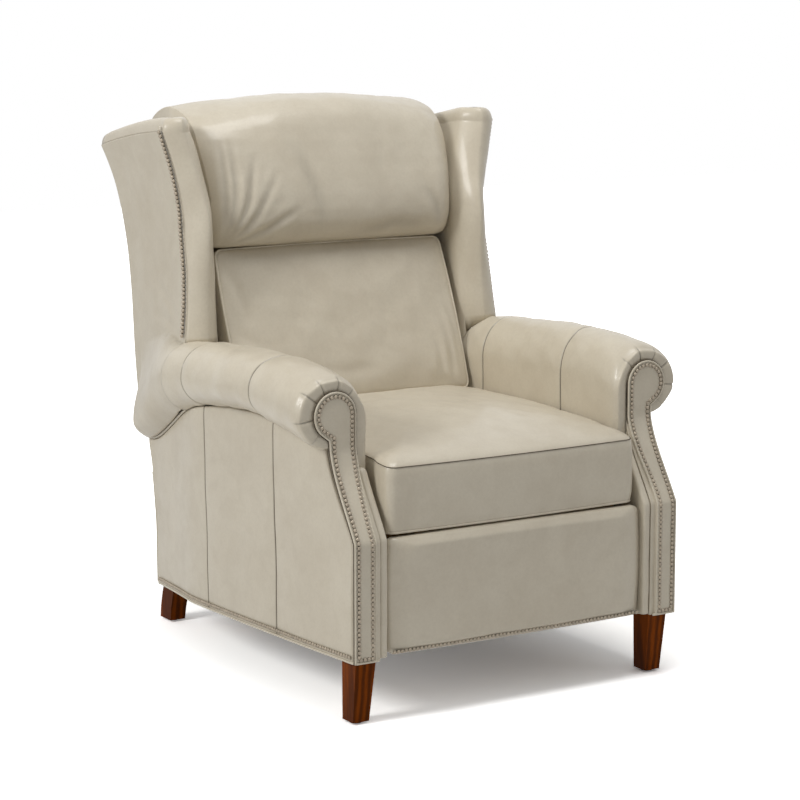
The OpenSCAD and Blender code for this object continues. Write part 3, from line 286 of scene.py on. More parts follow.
def crease(a, b, line, width, depth):
    """Valley along a line of (a, b) places that fades at its ends, with a soft lip on both sides."""
    line = np.array(line, float)
    best = np.full(a.shape, 1e9)
    where = np.zeros(a.shape)
    lengths = np.linalg.norm(np.diff(line, axis=0), axis=1)
    total = lengths.sum()
    done = 0.0
    for start, end, length in zip(line[:-1], line[1:], lengths):
        way = (end - start) / length
        t = np.clip((a - start[0]) * way[0] + (b - start[1]) * way[1], 0, length)
        off = np.hypot(a - start[0] - t * way[0], b - start[1] - t * way[1])
        where = np.where(off < best, (done + t) / total, where)
        best = np.minimum(best, off)
        done += length
    fade = np.sin(np.pi * np.clip(where, 0.02, 0.98)) ** 0.6
    valley = np.exp(-((best / width) ** 2))
    lips = np.exp(-(((best - 2.1 * width) / (1.1 * width)) ** 2))
    return fade * depth * (0.45 * lips - valley), fade * valley


def creased(a, b, folds, lift):
    """Adds (line, width, depth) creases to a lift in place, and tells how deep in a valley each point is."""
    dark = np.zeros(lift.shape)
    for line, width, depth in folds:
        fold, valley = crease(a, b, line, width, depth)
        lift += fold
        dark = np.maximum(dark, valley)
    return dark


def sideways(points, middle):
    """Level directions from a middle to points."""
    out = points - middle
    out[..., 2] = 0
    return out / np.maximum(np.linalg.norm(out, axis=2, keepdims=True), 1e-6)


def smooth_line(points, count):
    """A smooth line through points, with evenly spaced places."""
    points = np.array(points, float)
    ends = np.vstack([2 * points[0] - points[1], points, 2 * points[-1] - points[-2]])
    out = []
    for i in range(1, len(ends) - 2):
        p0, p1, p2, p3 = ends[i - 1 : i + 3]
        for t in np.linspace(0, 1, 12, endpoint=False):
            out.append(0.5 * (2 * p1 + (p2 - p0) * t + (2 * p0 - 5 * p1 + 4 * p2 - p3) * t**2
                              + (3 * p1 - p0 - 3 * p2 + p3) * t**3))
    out.append(points[-1])
    return resampled(np.array(out), count)


def resampled(points, count, closed=False):
    points = np.array(points, float)
    if closed:
        points = np.vstack([points, points[:1]])
    reach = np.concatenate([[0], np.cumsum(np.linalg.norm(np.diff(points, axis=0), axis=1))])
    at = np.linspace(0, reach[-1], count + 1)[:-1] if closed else np.linspace(0, reach[-1], count)
    return np.stack([np.interp(at, reach, points[:, k]) for k in range(points.shape[1])], axis=1)


def mesh_object(name, points, faces, finish, shade=None):
    """An object from points in metres; shade is painted shade that darkens the leather at each point, from 0 to 1."""
    mesh = bpy.data.meshes.new(name)
    mesh.from_pydata([tuple(p) for p in points], [], faces)
    if shade is not None:
        mesh.attributes.new("seam_shade", "FLOAT", "POINT").data.foreach_set(
            "value", np.clip(shade, 0, 1).astype(np.float32))
    mesh.validate()
    mesh.materials.append(finish)
    mesh.shade_smooth()
    made = bpy.data.objects.new(name, mesh)
    bpy.context.scene.collection.objects.link(made)
    return made


def grid_quads(rows, columns, wrap=False, start=0):
    last = columns if wrap else columns - 1
    return [(start + i * columns + j, start + (i + 1) * columns + j,
             start + (i + 1) * columns + (j + 1) % columns, start + i * columns + (j + 1) % columns)
            for i in range(rows - 1) for j in range(last)]


def rings_object(name, rings, finish, shade=None):
    """Closed solid through rings of points in millimetres, its ends drawn to a point in their middle."""
    m, n = rings.shape[:2]
    flat = metres(rings).reshape(-1, 3)
    ends = metres(np.array([rings[0].mean(axis=0), rings[-1].mean(axis=0)]))
    points = np.vstack([flat, ends])
    faces = grid_quads(m, n, wrap=True)
    faces += [(m * n, j, (j + 1) % n) for j in range(n)]
    faces += [(m * n + 1, (m - 1) * n + (j + 1) % n, (m - 1) * n + j) for j in range(n)]
    if shade is not None:
        shade = np.concatenate([shade.reshape(-1), [0, 0]])
    made = mesh_object(name, points, faces, finish, shade)
    outward(made)
    return made


def outward(made):
    """Turns all faces of a closed mesh outward."""
    work = bmesh.new()
    work.from_mesh(made.data)
    bmesh.ops.recalc_face_normals(work, faces=work.faces)
    work.to_mesh(made.data)
    work.free()


def rounded_fall(distance, radius):
    """How far a surface drops at a distance from its edge, for an edge rounded to a radius."""
    inside = np.clip(radius - distance, 0, radius)
    return radius - np.sqrt(np.maximum(radius**2 - inside**2, 0))


def panel_object(name, grid, finish, thickness, round_edge, shade=None):
    """Closed panel whose outer face is the grid, in millimetres, with rounded edges."""
    normal = normals_of(grid)
    fall = rounded_fall(edge_distance(grid), min(round_edge, thickness * 0.6))
    face = grid - normal * fall[..., None]
    back = grid - normal * thickness
    m, n = grid.shape[:2]
    points = metres(np.concatenate([face.reshape(-1, 3), back.reshape(-1, 3)]))
    size = m * n
    faces = grid_quads(m, n)
    faces += [tuple(reversed(face)) for face in grid_quads(m, n, start=size)]
    rim = [i * n for i in range(m)] + [(m - 1) * n + j for j in range(1, n)]
    rim += [i * n + n - 1 for i in range(m - 2, -1, -1)] + [j for j in range(n - 2, 0, -1)]
    faces += [(rim[k], size + rim[k], size + rim[(k + 1) % len(rim)], rim[(k + 1) % len(rim)])
              for k in range(len(rim))]
    if shade is not None:
        shade = np.concatenate([shade.reshape(-1), shade.reshape(-1) * 0])
    made = mesh_object(name, points, faces, finish, shade)
    outward(made)
    return made


def tube_object(name, paths, radius, finish, sides=8):
    """Welts or other round cords along paths in millimetres; a path is (points, closed)."""
    points, faces = [], []
    for path, closed in paths:
        path = np.array(path, float)
        count = len(path)
        way = np.roll(path, -1, 0) - np.roll(path, 1, 0) if closed else np.gradient(path, axis=0)
        way /= np.linalg.norm(way, axis=1, keepdims=True)
        up = np.cross(way[0], [0.31, 0.17, 0.93])
        up /= np.linalg.norm(up)
        base = len(points)
        for place, ahead in zip(path, way):
            up = up - ahead * (up @ ahead)
            up /= np.linalg.norm(up)
            across = np.cross(ahead, up)
            for k in range(sides):
                turn = 2 * math.pi * k / sides
                points.append(place + radius * (math.cos(turn) * up + math.sin(turn) * across))
        for i in range(count if closed else count - 1):
            for k in range(sides):
                a, b = base + i * sides, base + (i + 1) % count * sides
                faces.append((a + k, b + k, b + (k + 1) % sides, a + (k + 1) % sides))
        if not closed:
            faces.append(tuple(base + k for k in range(sides)))
            faces.append(tuple(base + (count - 1) * sides + k for k in reversed(range(sides))))
    made = mesh_object(name, metres(np.array(points)), faces, finish)
    outward(made)
    return made


def nail_places(path, pitch, closed=False):
    """Evenly spaced places along a path, about a pitch apart."""
    path = np.array(path, float)
    if closed:
        path = np.vstack([path, path[:1]])
    length = np.linalg.norm(np.diff(path, axis=0), axis=1).sum()
    count = max(int(round(length / pitch)), 1)
    places = resampled(path, count + 1)
    return places[:-1] if closed else places


def nails_object(name, places, facing, finish, diameter):
    """Domed nail heads at places in millimetres, each turned to its own facing direction."""
    points, faces = [], []
    steps = [(1.0, 0.0), (0.93, 0.28), (0.68, 0.52), (0.34, 0.66)]
    around = 10
    for place, way in zip(places, facing):
        way = np.array(way, float) / np.linalg.norm(way)
        side = np.cross(way, [0.2, 0.3, 0.9])
        side /= np.linalg.norm(side)
        other = np.cross(way, side)
        base = len(points)
        for wide, high in steps:
            for k in range(around):
                turn = 2 * math.pi * k / around
                points.append(place + diameter / 2 * (wide * (math.cos(turn) * side + math.sin(turn) * other)
                                                      + (high + 0.02) * way))
        points.append(place + diameter / 2 * 0.72 * way)
        top = base + len(steps) * around
        for r in range(len(steps) - 1):
            for k in range(around):
                a, b = base + r * around, base + (r + 1) * around
                faces.append((a + k, a + (k + 1) % around, b + (k + 1) % around, b + k))
        for k in range(around):
            a = base + (len(steps) - 1) * around
            faces.append((a + k, a + (k + 1) % around, top))
        faces.append(tuple(base + k for k in reversed(range(around))))
    made = mesh_object(name, metres(np.array(points)), faces, finish)
    outward(made)
    return made


def nailed(name, path, facing, body, closed=False):
    """A row of nails along a path, with a dark cord under it: painted shade between the heads, partly the dark patina
    of their hollows.
    """
    diameter, pitch = sizes()[:2]
    places = nail_places(path, pitch, closed)
    ways = facing(places)
    finished(nails_object(name, places, ways, finish("nail_metal"), diameter), body, "link_steel")
    unit = np.array(ways, float)
    unit /= np.linalg.norm(unit, axis=1, keepdims=True)
    # dark cord under the row: painted shade between the nail heads, partly the dark patina in their hollows
    cord(f"{name}_bed", [(places - unit * 1.7, closed)], 2.5, "nail_bed", body, "seat_leather", sides=6)


# Finishes


class Value:
    """A socket that Python's +, - and * work on."""

    def __init__(self, finish, socket):
        self.finish, self.socket = finish, socket

    def _math(self, operation, first, second):
        return self.finish.node("ShaderNodeMath", {"operation": operation}, {0: first, 1: second})

    def __add__(self, other):
        return self._math("ADD", self, other)

    def __radd__(self, other):
        return self._math("ADD", other, self)

    def __sub__(self, other):
        return self._math("SUBTRACT", self, other)

    def __rsub__(self, other):
        return self._math("SUBTRACT", other, self)

    def __mul__(self, other):
        return self._math("MULTIPLY", self, other)

    def __rmul__(self, other):
        return self._math("MULTIPLY", other, self)


class Finish:
    """The nodes of one material, or of the world."""

    def __init__(self, name, shader="ShaderNodeBsdfPrincipled", kind="Material"):
        made_in = bpy.data.materials if kind == "Material" else bpy.data.worlds
        self.material = made_in.new(name)
        self.material.use_nodes = True
        self.tree = self.material.node_tree
        self.tree.nodes.clear()
        self.shader = self.tree.nodes.new(shader)
        out = self.tree.nodes.new(f"ShaderNodeOutput{kind}")
        self.tree.links.new(self.shader.outputs[0], out.inputs["Surface"])

    def node(self, kind, settings=None, inputs=None, output=0):
        made = self.tree.nodes.new(kind)
        for name, value in (settings or {}).items():
            if name == "stops":
                ramp = made.color_ramp
                while len(ramp.elements) < len(value):
                    ramp.elements.new(0.5)
                for element, (place, colour) in zip(ramp.elements, value):
                    element.position, element.color = place, (*colour, 1)
            else:
                setattr(made, name, value)
        for name, value in (inputs or {}).items():
            self.feed(made.inputs[name], value)
        return Value(self, made.outputs[output])

    def feed(self, socket, value):
        if isinstance(value, Value):
            self.tree.links.new(value.socket, socket)
        else:
            socket.default_value = value

    def set(self, **sockets):
        for name, value in sockets.items():
            self.feed(self.shader.inputs[name.replace("_", " ")], value)
        return self

    def place(self):
        return self.node("ShaderNodeTexCoord", output="Object")

    def ray_kinds(self):
        """Whether light is followed from the camera, a reflection or a transmission."""
        return [self.node("ShaderNodeLightPath", output=f"Is {kind} Ray")
                for kind in ("Camera", "Glossy", "Transmission")]

    def stretched(self, size):
        return self.node("ShaderNodeVectorMath", {"operation": "MULTIPLY"}, {0: self.place(), 1: size})

    def noise(self, scale, detail=3.0, roughness=0.55, where=None, warp=0.0):
        return self.node("ShaderNodeTexNoise", inputs={
            "Vector": where or self.place(), "Scale": scale, "Detail": detail,
            "Roughness": roughness, "Distortion": warp})

    def ramp(self, value, low, high):
        return self.node("ShaderNodeMapRange", {"interpolation_type": "SMOOTHSTEP"}, {
            "Value": value, "From Min": low, "From Max": high})

    def blend(self, factor, first, second, kind="MIX"):
        return self.node("ShaderNodeMix", {"data_type": "RGBA", "blend_type": kind},
                         {0: factor, 6: first, 7: second}, output=2)

    def bump(self, height, distance, strength=1.0, onto=None):
        inputs = {"Height": height, "Distance": distance, "Strength": strength}
        if onto is not None:
            inputs["Normal"] = onto
        return self.node("ShaderNodeBump", inputs=inputs)


def tint(colour, factor):
    return tuple(c * factor for c in colour[:3]) + (1.0,)


def leather_finish(name, colour, grey, grain=1.0):
    """Smooth pigmented leather: cloudy colour, fine pebble grain, hair creases and worn sheen, with painted shade in
    the seams, creases and pleats from the seam_shade attribute.
    """
    made = Finish(name)
    clouds = made.ramp(made.noise(5.5, 4.0, 0.6, warp=0.6), 0.3, 0.72)
    blotches = made.ramp(made.noise(26.0, 4.0, 0.6, warp=0.4), 0.36, 0.7)
    fine = made.noise(190.0, 3.0, 0.6)
    painted_shade = made.node("ShaderNodeAttribute", {"attribute_name": "seam_shade"}, output="Fac")
    base = made.blend(clouds * 0.42 + blotches * 0.25, colour, grey)
    base = made.blend((fine - 0.36) * 0.5, base, tint(grey, 0.84))
    # painted shade: the seams, creases and pleats darken toward a deep brown by the seam_shade attribute
    base = made.blend(painted_shade * 0.9, base, tint(grey, 0.22))
    pebbles = made.node("ShaderNodeTexVoronoi", {"feature": "SMOOTH_F1"}, {
        "Vector": made.place(), "Scale": 620.0, "Smoothness": 0.6}, output="Distance")
    lines = made.node("ShaderNodeTexVoronoi", {"feature": "DISTANCE_TO_EDGE"}, {
        "Vector": made.place(), "Scale": 150.0, "Randomness": 1.0}, output="Distance")
    wrinkle = made.ramp(lines, 0.0, 0.09)
    height = pebbles * 0.35 + wrinkle * 0.35 + fine * 0.3
    made.set(
        Base_Color=base,
        Roughness=made.noise(40.0, 3.0, 0.6) * 0.16 + 0.31 + blotches * 0.05,
        Normal=made.bump(height, 0.00016 * grain, 0.6, made.bump(made.noise(38.0, 3.0, 0.5), 0.0009, 0.3)),
        Specular_IOR_Level=0.4, Coat_Weight=0.24, Coat_Roughness=0.14)
    return made.material


def wood_finish(name, light, dark, gloss=0.32):
    """Stained and lacquered wood with its grain upright."""
    made = Finish(name)
    where = made.stretched((38.0, 38.0, 2.6))
    grain = made.noise(2.2, 6.0, 0.62, where, 0.9)
    pores = made.noise(9.0, 3.0, 0.5, where)
    rings = made.node("ShaderNodeTexWave", {"bands_direction": "X"}, {
        "Vector": where, "Scale": 0.55, "Distortion": 5.0, "Detail": 3.0, "Detail Scale": 1.4}, output="Fac")
    base = made.blend(made.ramp(grain * 0.65 + rings * 0.35, 0.3, 0.72), dark, light)
    base = made.blend(made.ramp(pores, 0.55, 0.75) * 0.5, base, tint(dark, 0.5))
    made.set(Base_Color=base, Roughness=gloss + grain * 0.14, Specular_IOR_Level=0.04,
             Normal=made.bump(grain * 0.7 + pores * 0.3, 0.00015, 0.35))
    return made.material


def metal_finish(name, colour, dark, rough, metallic=1.0, wear=30.0):
    """Metal, or with metallic 0 a hard plastic, with marks of wear."""
    made = Finish(name)
    marks = made.noise(wear, 4.0, 0.65, warp=0.3)
    fine = made.noise(wear * 14, 2.0, 0.5)
    made.set(Base_Color=made.blend(made.ramp(marks, 0.38, 0.66), colour, dark),
             Roughness=marks * 0.22 + (rough - 0.1), Normal=made.bump(fine, 0.0002, 0.3), Metallic=metallic)
    return made.material


def cloth_finish(name, colour, dark):
    """Plain woven deck cloth."""
    made = Finish(name)
    across, along = (made.node("ShaderNodeTexWave", {"bands_direction": way},
                               {"Vector": made.place(), "Scale": 260.0}, output="Fac") for way in "XY")
    made.set(Base_Color=made.blend(across * along, dark, colour), Roughness=made.noise(60.0) * 0.1 + 0.85,
             Normal=made.bump(across + along, 0.0004, 0.5))
    return made.material


def srgb(red, green, blue):
    """A colour written in the 0 to 255 steps of a screen, as linear light."""
    parts = [v / 255 for v in (red, green, blue)]
    return tuple(v / 12.92 if v <= 0.04045 else ((v + 0.055) / 1.055) ** 2.4 for v in parts) + (1.0,)


class ChairColours(bpy.types.PropertyGroup):
    """Colours of the chair."""

    leather: bpy.props.FloatVectorProperty(
        name="Leather", description="Lighter colour of the leather", subtype="COLOR", size=4, min=0, max=1,
        default=srgb(207, 198, 179))
    leather_dark: bpy.props.FloatVectorProperty(
        name="Leather shade", description="Darker, browner colour in the leather's clouds", subtype="COLOR",
        size=4, min=0, max=1, default=srgb(192, 181, 161))
    wood: bpy.props.FloatVectorProperty(
        name="Leg wood", description="Light grain of the stained legs", subtype="COLOR", size=4, min=0, max=1,
        default=srgb(128, 60, 3))
    wood_dark: bpy.props.FloatVectorProperty(
        name="Leg wood shade", description="Dark grain of the stained legs", subtype="COLOR", size=4, min=0,
        max=1, default=srgb(82, 36, 2))
    nail: bpy.props.FloatVectorProperty(
        name="Nail heads", description="Colour of the antiqued nail heads", subtype="COLOR", size=4, min=0,
        max=1, default=srgb(178, 165, 146))


class ChairSizes(bpy.types.PropertyGroup):
    """Sizes of the chair's trim."""

    nail_diameter: bpy.props.FloatProperty(
        name="Nail diameter", description="Width of a nail head", default=0.0079, min=0.006, max=0.014,
        unit="LENGTH")
    nail_pitch: bpy.props.FloatProperty(
        name="Nail pitch", description="Distance from one nail to the next", default=0.0083, min=0.007,
        max=0.03, unit="LENGTH")
    welt_diameter: bpy.props.FloatProperty(
        name="Welt diameter", description="Thickness of the corded welts", default=0.005, min=0.003,
        max=0.01, unit="LENGTH")
    seam_depth: bpy.props.FloatProperty(
        name="Seam depth", description="How deep the stitched seams draw in", default=0.0022, min=0.0,
        max=0.006, unit="LENGTH")


def sizes():
    """The trim sizes in millimetres: nail diameter, nail pitch, welt radius, seam depth."""
    s = bpy.context.scene.chair_sizes
    return s.nail_diameter / MM, s.nail_pitch / MM, s.welt_diameter / 2 / MM, s.seam_depth / MM


def finish(name):
    """A finish by name, made at its first use."""
    full = f"{name}_finish"
    if full in bpy.data.materials:
        return bpy.data.materials[full]
    c = bpy.context.scene.chair_colours
    makers = {
        "seat_leather": lambda: leather_finish(full, c.leather, c.leather_dark),
        "side_leather": lambda: leather_finish(full, tint(c.leather, 0.96), tint(c.leather_dark, 0.95)),
        "welt_leather": lambda: leather_finish(full, tint(c.leather, 1.04), tint(c.leather_dark, 1.0), grain=0.6),
        "leg_wood": lambda: wood_finish(full, c.wood, c.wood_dark),
        "hardwood": lambda: wood_finish(full, srgb(196, 160, 112), srgb(160, 122, 78), gloss=0.55),
        "nail_metal": lambda: metal_finish(full, c.nail, tint(c.nail, 0.7), rough=0.4, metallic=0.3, wear=160.0),
        # painted shade between the nail heads, partly the dark patina in their hollows
        "nail_bed": lambda: cloth_finish(full, tint(c.leather_dark, 0.34), tint(c.leather_dark, 0.22)),
        "seam_thread": lambda: cloth_finish(full, srgb(104, 92, 76), srgb(78, 68, 55)),
        "plate_steel": lambda: metal_finish(full, srgb(120, 122, 124), srgb(92, 93, 95), rough=0.42),
        "link_steel": lambda: metal_finish(full, srgb(150, 151, 152), srgb(118, 118, 120), rough=0.36),
        "spring_steel": lambda: metal_finish(full, srgb(96, 92, 86), srgb(60, 56, 52), rough=0.5),
        "deck_cloth": lambda: cloth_finish(full, srgb(70, 68, 64), srgb(42, 40, 38)),
        "glide": lambda: metal_finish(full, srgb(70, 66, 60), srgb(44, 42, 40), rough=0.6, metallic=0.0),
    }
    return makers[name]()


def finished(made, body, slot, *nodes, soft=None):
    """Rides a piece on its body and hides the CAD nodes it stands for; the slot and soft arguments are not used."""
    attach(made, body)
    if nodes:
        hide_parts(*nodes)


def cord(name, paths, radius, look, body, slot, sides=8):
    """A round cord or several, riding on a body."""
    finished(tube_object(name, paths, radius, finish(look), sides), body, slot)


def seams(distances, depth):
    """Lift and painted shade of stitched seams from the distances to each: a valley in a wider dip, with the painted
    shade darkest in the valley.
    """
    lift, shade = 0, 0
    for distance in distances:
        valley = np.exp(-((distance / 1.7) ** 2))
        lift = lift + (-depth * valley - depth * 0.55 * np.exp(-((distance / 16.0) ** 2)))
        shade = np.maximum(shade, np.clip(valley * 1.1, 0, 1))
    return lift, shade


class ArmOperator(bpy.types.Operator):
    """Builds the padded arms with their rolls, seams and pleats"""

    bl_idname = "recliner.arms"
    bl_label = "Padded arms"

    def execute(self, context):
        depth = sizes()[3]
        for side, sign in SIDES.items():
            y = spaced(ARM_FRONT, 631.7, 5.0, ARM_SEAMS)
            y = np.concatenate([[ARM_FRONT, 97.5, 99.5, 102], y[y > 104]])
            near = sum(np.exp(-(((y - place) / 30) ** 2)) for place in ARM_SEAMS)
            turned = 4 * np.sin(np.linspace(0, 1.4 * math.pi, self.steps))
            grid = self.section(y[:, None] + near[:, None] * turned)
            normal = normals_of(grid)
            if normal[len(y) // 2, 80, 2] < 0:
                normal = -normal
            # painted shade in the arm's two seams, joined below with the painted shade in the pleats
            lift, shade = seams([np.broadcast_to(np.abs(y - place)[:, None], grid.shape[:2])
                                 for place in ARM_SEAMS], depth)
            on_roll = np.clip((reach_along(grid, 1) - 150) / 60, 0, 1)
            lift += on_roll * 1.6 * ripple(grid, size=130, seed=11 + sign)
            rim, folds, dark = self.pleats(grid, y, sign, lift)
            shade = np.maximum(shade, dark[len(rim):])
            face = np.concatenate([rim, grid + normal * (lift + folds)[..., None]])
            shade = np.concatenate([dark[: len(rim)], shade])
            y_line = face[:, 20, 1]
            low_line = under_z(np.maximum(y_line, ARM_FRONT))
            hidden = [points_of(x, y_line, z)
                      for x, z in ((330.0, low_line), (330.0, 561.0), (304.0, 561.0), (304.0, SEAT_FOOT))]
            rings = np.concatenate([face, np.stack(hidden, axis=1)], axis=1)
            shade = np.concatenate([shade, np.zeros((len(y_line), len(hidden)))], axis=1)
            rings[..., 0] *= sign
            finished(rings_object(f"{side}_arm", rings, finish("seat_leather"), shade),
                     "chair_frame", "seat_leather", f"{side}_arm_pad", soft=0.8)
            rows = [len(rim) + int(np.argmin(np.abs(y - place))) for place in ARM_SEAMS]
            cord(f"{side}_arm_seams", [(resampled(rings[row, : self.steps], 240), False) for row in rows],
                 SEAM_RADIUS, "seam_thread", "chair_frame", "seat_leather", sides=6)
        return {"FINISHED"}

    inner, rising, outer = 14, 46, 110  # points up the inner wall, to the crest and round the roll
    steps = inner + rising + outer

    def section(self, y):
        """The arm's padding over the inner wall and round the roll, at a grid of depths."""
        wall, top = slice(0, self.inner), slice(self.inner, self.inner + self.rising)
        roll = slice(self.inner + self.rising, None)
        crest, out, low, ins = crest_z(y), roll_x(y), under_z(y), inside_x(y)
        quarter = np.radians(np.linspace(180, 90, self.rising + 1))[1:]
        outer = np.radians(np.linspace(90, -75, self.outer + 1))[1:]
        x, z = np.empty(y.shape), np.empty(y.shape)
        x[:, wall] = ins[:, wall]
        z[:, wall] = mix(SEAT_FOOT, crest[:, wall] - INNER_FALL, np.linspace(0, 1, self.inner))
        x[:, top] = ROLL_X + (ROLL_X - ins[:, top]) * np.cos(quarter)
        z[:, top] = crest[:, top] - INNER_FALL * (1 - np.sin(quarter))
        x[:, roll] = ROLL_X + (out[:, roll] - ROLL_X) * np.cos(outer)
        mid = crest[:, roll] - OUTER_FALL
        below = (mid - low[:, roll]) / math.sin(math.radians(75))
        z[:, roll] = mid + np.where(outer > 0, OUTER_FALL, below) * np.sin(outer)
        return points_of(x, y, z)

    def pleats(self, grid, y, sign, lift):
        """The gathered front of the roll: rings down to the scroll, the pleats' folds along the roll, and the painted
        shade in the pleats' valleys.
        """
        turn = np.arctan2(grid[..., 2] - ROLL_Z, grid[..., 0] - ROLL_X)
        chance = np.random.default_rng(5 + sign)
        marks = np.radians([-48, -7, 34, 67, 100, 133]) + chance.uniform(-0.04, 0.04, 6)
        sizes_of = [0.45, 1.0, 1.1, 0.95, 1.1, 0.9]
        near = np.exp(-(((y - ARM_FRONT) / 9.0) ** 1.5))[:, None]
        reach = np.exp(-(((y - ARM_FRONT) / 6.0) ** 1.4))[:, None]
        folds, dark = np.zeros(turn.shape), np.zeros(turn.shape)
        ends = np.concatenate([marks, [marks[-1] + 0.62]])
        for low, high in zip(ends[:-1], ends[1:]):
            inside = (turn >= low) & (turn < high)
            chord = math.cos((high - low) / 2) / np.cos(np.where(inside, turn - (low + high) / 2, 0))
            folds -= np.where(inside, (1 - chord) * 72 * 0.6, 0) * near
        for angle, size in zip(marks, sizes_of):
            off = (turn - angle) * 70
            folds -= size * (1.5 * np.exp(-((off / 1.6) ** 2)) + 1.1 * np.exp(-np.abs(off) / 7)) * reach
            # painted shade in each pleat's valley
            dark = np.maximum(dark, 0.75 * size * np.exp(-((off / 1.2) ** 2)) * reach)
        folds += 0.8 * reach
        first, middle = grid[0], np.array([ROLL_X, ROLL_Z])
        away = first[:, [0, 2]] - middle
        away /= np.maximum(np.linalg.norm(away, axis=1, keepdims=True), 1e-6)
        edge = middle + away * (SCROLL_RADIUS - 0.5)
        wall = (first[:, 2] < ROLL_Z) & (first[:, 0] < ROLL_X)
        edge[wall, 0], edge[wall, 1] = ROLL_X - SCROLL_RADIUS + 0.5, first[wall, 2]
        rings, darks = [], []
        for t in (1, 0.92, 0.84, 0.76, 0.68, 0.6, 0.52, 0.44, 0.36, 0.28, 0.2, 0.13, 0.08, 0.045, 0.02):
            ring = first.copy()
            ring[:, [0, 2]] = mix(first[:, [0, 2]] + away * ((folds[0] + lift[0]) * (1 - t))[:, None], edge, t)
            puff = 1 - math.exp(-t / 0.07)
            valley = sum(size * np.exp(-(((turn[0] - angle) * mix(72, 44, 1 - t) / 2.2) ** 2))
                         + size * 0.7 * np.exp(-np.abs(turn[0] - angle) * 50 / 6)
                         for angle, size in zip(marks, sizes_of))
            ring[:, 1] = (ARM_FRONT - (4.4 * puff + 3.2 * (1 - t)) * np.minimum(puff * 1.2, 1)
                          - 1.6 * math.sin(math.pi * t) + valley * 2.2 * puff)
            rings.append(ring)
            # painted shade of the pleats on the rings down to the scroll
            darks.append(dark[0] * (0.75 + 0.35 * (1 - abs(2 * t - 1))))
        return np.array(rings), folds, np.concatenate([np.array(darks), dark])


class SideOperator(bpy.types.Operator):
    """Builds the outside leather of the arms, with its seams and hem"""

    bl_idname = "recliner.sides"
    bl_label = "Outside panels"

    def execute(self, context):
        welt, depth = sizes()[2:]
        first, second = SIDE_SEAM_SHARES
        width = 810  # of a panel, for the seams' distances
        near = np.array([-6, -3.4, -1.8, -0.8, 0, 0.8, 1.8, 3.4, 6]) / width
        s = np.unique([*np.linspace(0, 1, 91), 0.002, 0.005, 0.009, 0.991, 0.995, 0.998,
                       *(near + first), *(near + second)])
        t = np.unique([*np.linspace(0, 1, 62), 0.003, 0.008, 0.014, 0.986, 0.992, 0.997])
        share, rise = np.meshgrid(s, t, indexing="ij")
        for side, sign in SIDES.items():
            z = np.full(share.shape, float(ROLL_FOOT))
            for _ in range(5):  # y and z depend on each other
                front, rear = facing_y(z) + FACING_DEPTH, rear_edge_y(z)
                one, two = ((seam_y + 4 - (520 - z) * lean - front) / (rear - front)
                            for seam_y, lean in zip(ARM_SEAMS, (0.018, 0.03)))
                between = mix(one, two, (share - first) / (second - first))
                behind = mix(two, 1, (share - second) / (1 - second))
                moved = np.where(share < first, share / first * one, np.where(share < second, between, behind))
                y = mix(front, rear, moved)
                z = mix(bottom_z(y), under_z(y) - 1, rise)
            y = mix(facing_y(z) + FACING_DEPTH, rear_edge_y(z), moved)
            grid = points_of(side_x(y), y, z)
            # painted shade in the panel's two seam valleys
            lift, shade = seams([np.abs(share - mark) * width for mark in SIDE_SEAM_SHARES], depth * 0.8)
            lift += 1.5 * ripple(grid, size=240, seed=31 + sign) * np.sin(np.pi * rise) ** 0.5
            lift -= 1.2 * np.exp(-(((rise - 1) * 40) ** 2))
            grid[..., 0] += lift
            grid[..., 0] *= sign
            cord(f"{side}_side_seams", [(grid[int(np.argmin(np.abs(s - mark)))] + [sign * 0.2, 0, 0], False)
                                        for mark in SIDE_SEAM_SHARES],
                 SEAM_RADIUS, "seam_thread", "chair_frame", "side_leather", sides=6)
            finished(panel_object(f"{side}_side", grid[::sign], finish("side_leather"),
                                  thickness=9.0, round_edge=3.0, shade=shade[::sign]),
                     "chair_frame", "side_leather", f"{side}_outside_panel", soft=0.9)
            hem = np.linspace(14, 818, 120)
            path = points_of(sign * (side_x(hem) + 0.2), hem, bottom_z(hem) + 1.5)
            front = [[sign * x, 2.5, bottom_z(0) + 1.5] for x in np.linspace(310, 357, 8)]
            corner = [[sign * 359.3, 6.0, bottom_z(0) + 1.5]]
            cord(f"{side}_hem_welt", [(np.vstack([front, corner, path]), False)], welt,
                 "welt_leather", "chair_frame", "side_leather")
        return {"FINISHED"}


def wing_roll_x(y, z):
    """Outside of the wing with the arm roll flowing up into it."""
    share = np.clip((y - wing_front_y(z)) / (rear_edge_y(z) - wing_front_y(z)), 0, 1)
    base = wing_x(share, z)
    s = np.clip((y - 632.3) / (856 - 632.3), 0, 1)
    top = eased(s, scaled(REAR_TOP, 1, ARM_HEIGHT), 0.05)
    mid = eased(s, scaled(REAR_MID, 1, ARM_HEIGHT), 0.05)
    low = under_z(y) + 0.3
    out = mix(roll_x(ARM_LENGTH), 374.0, s**1.2)
    mid_share = np.clip((y - wing_front_y(mid)) / (rear_edge_y(mid) - wing_front_y(mid)), 0, 1)
    mid_base = wing_x(mid_share, mid)
    reach_up = np.clip((z - mid) / (top + 26 * s + 2 - mid), 0, 1)
    reach_down = np.clip((mid - z) / (mid - low), 0, 1)
    bulge_up = np.sqrt(np.maximum(1 - reach_up**2, 0)) * (1 - s) + s * (1 - (3 - 2 * reach_up) * reach_up**2)
    bulge_down = np.cos(reach_down * math.radians(89)) ** 0.8
    end = np.sqrt(1 - (1 - np.clip((867 - y) / 24, 0, 1)) ** 2)
    tucked = mix(371.0, side_x(y) + 1.2, np.clip((y - ARM_LENGTH) / 40, 0, 1))
    upper = base + np.maximum(out - mid_base, 0) * bulge_up * end
    lower = tucked + (mid_base + np.maximum(out - mid_base, 0) * end - tucked) * bulge_down
    return np.where(z > mid, upper, lower)


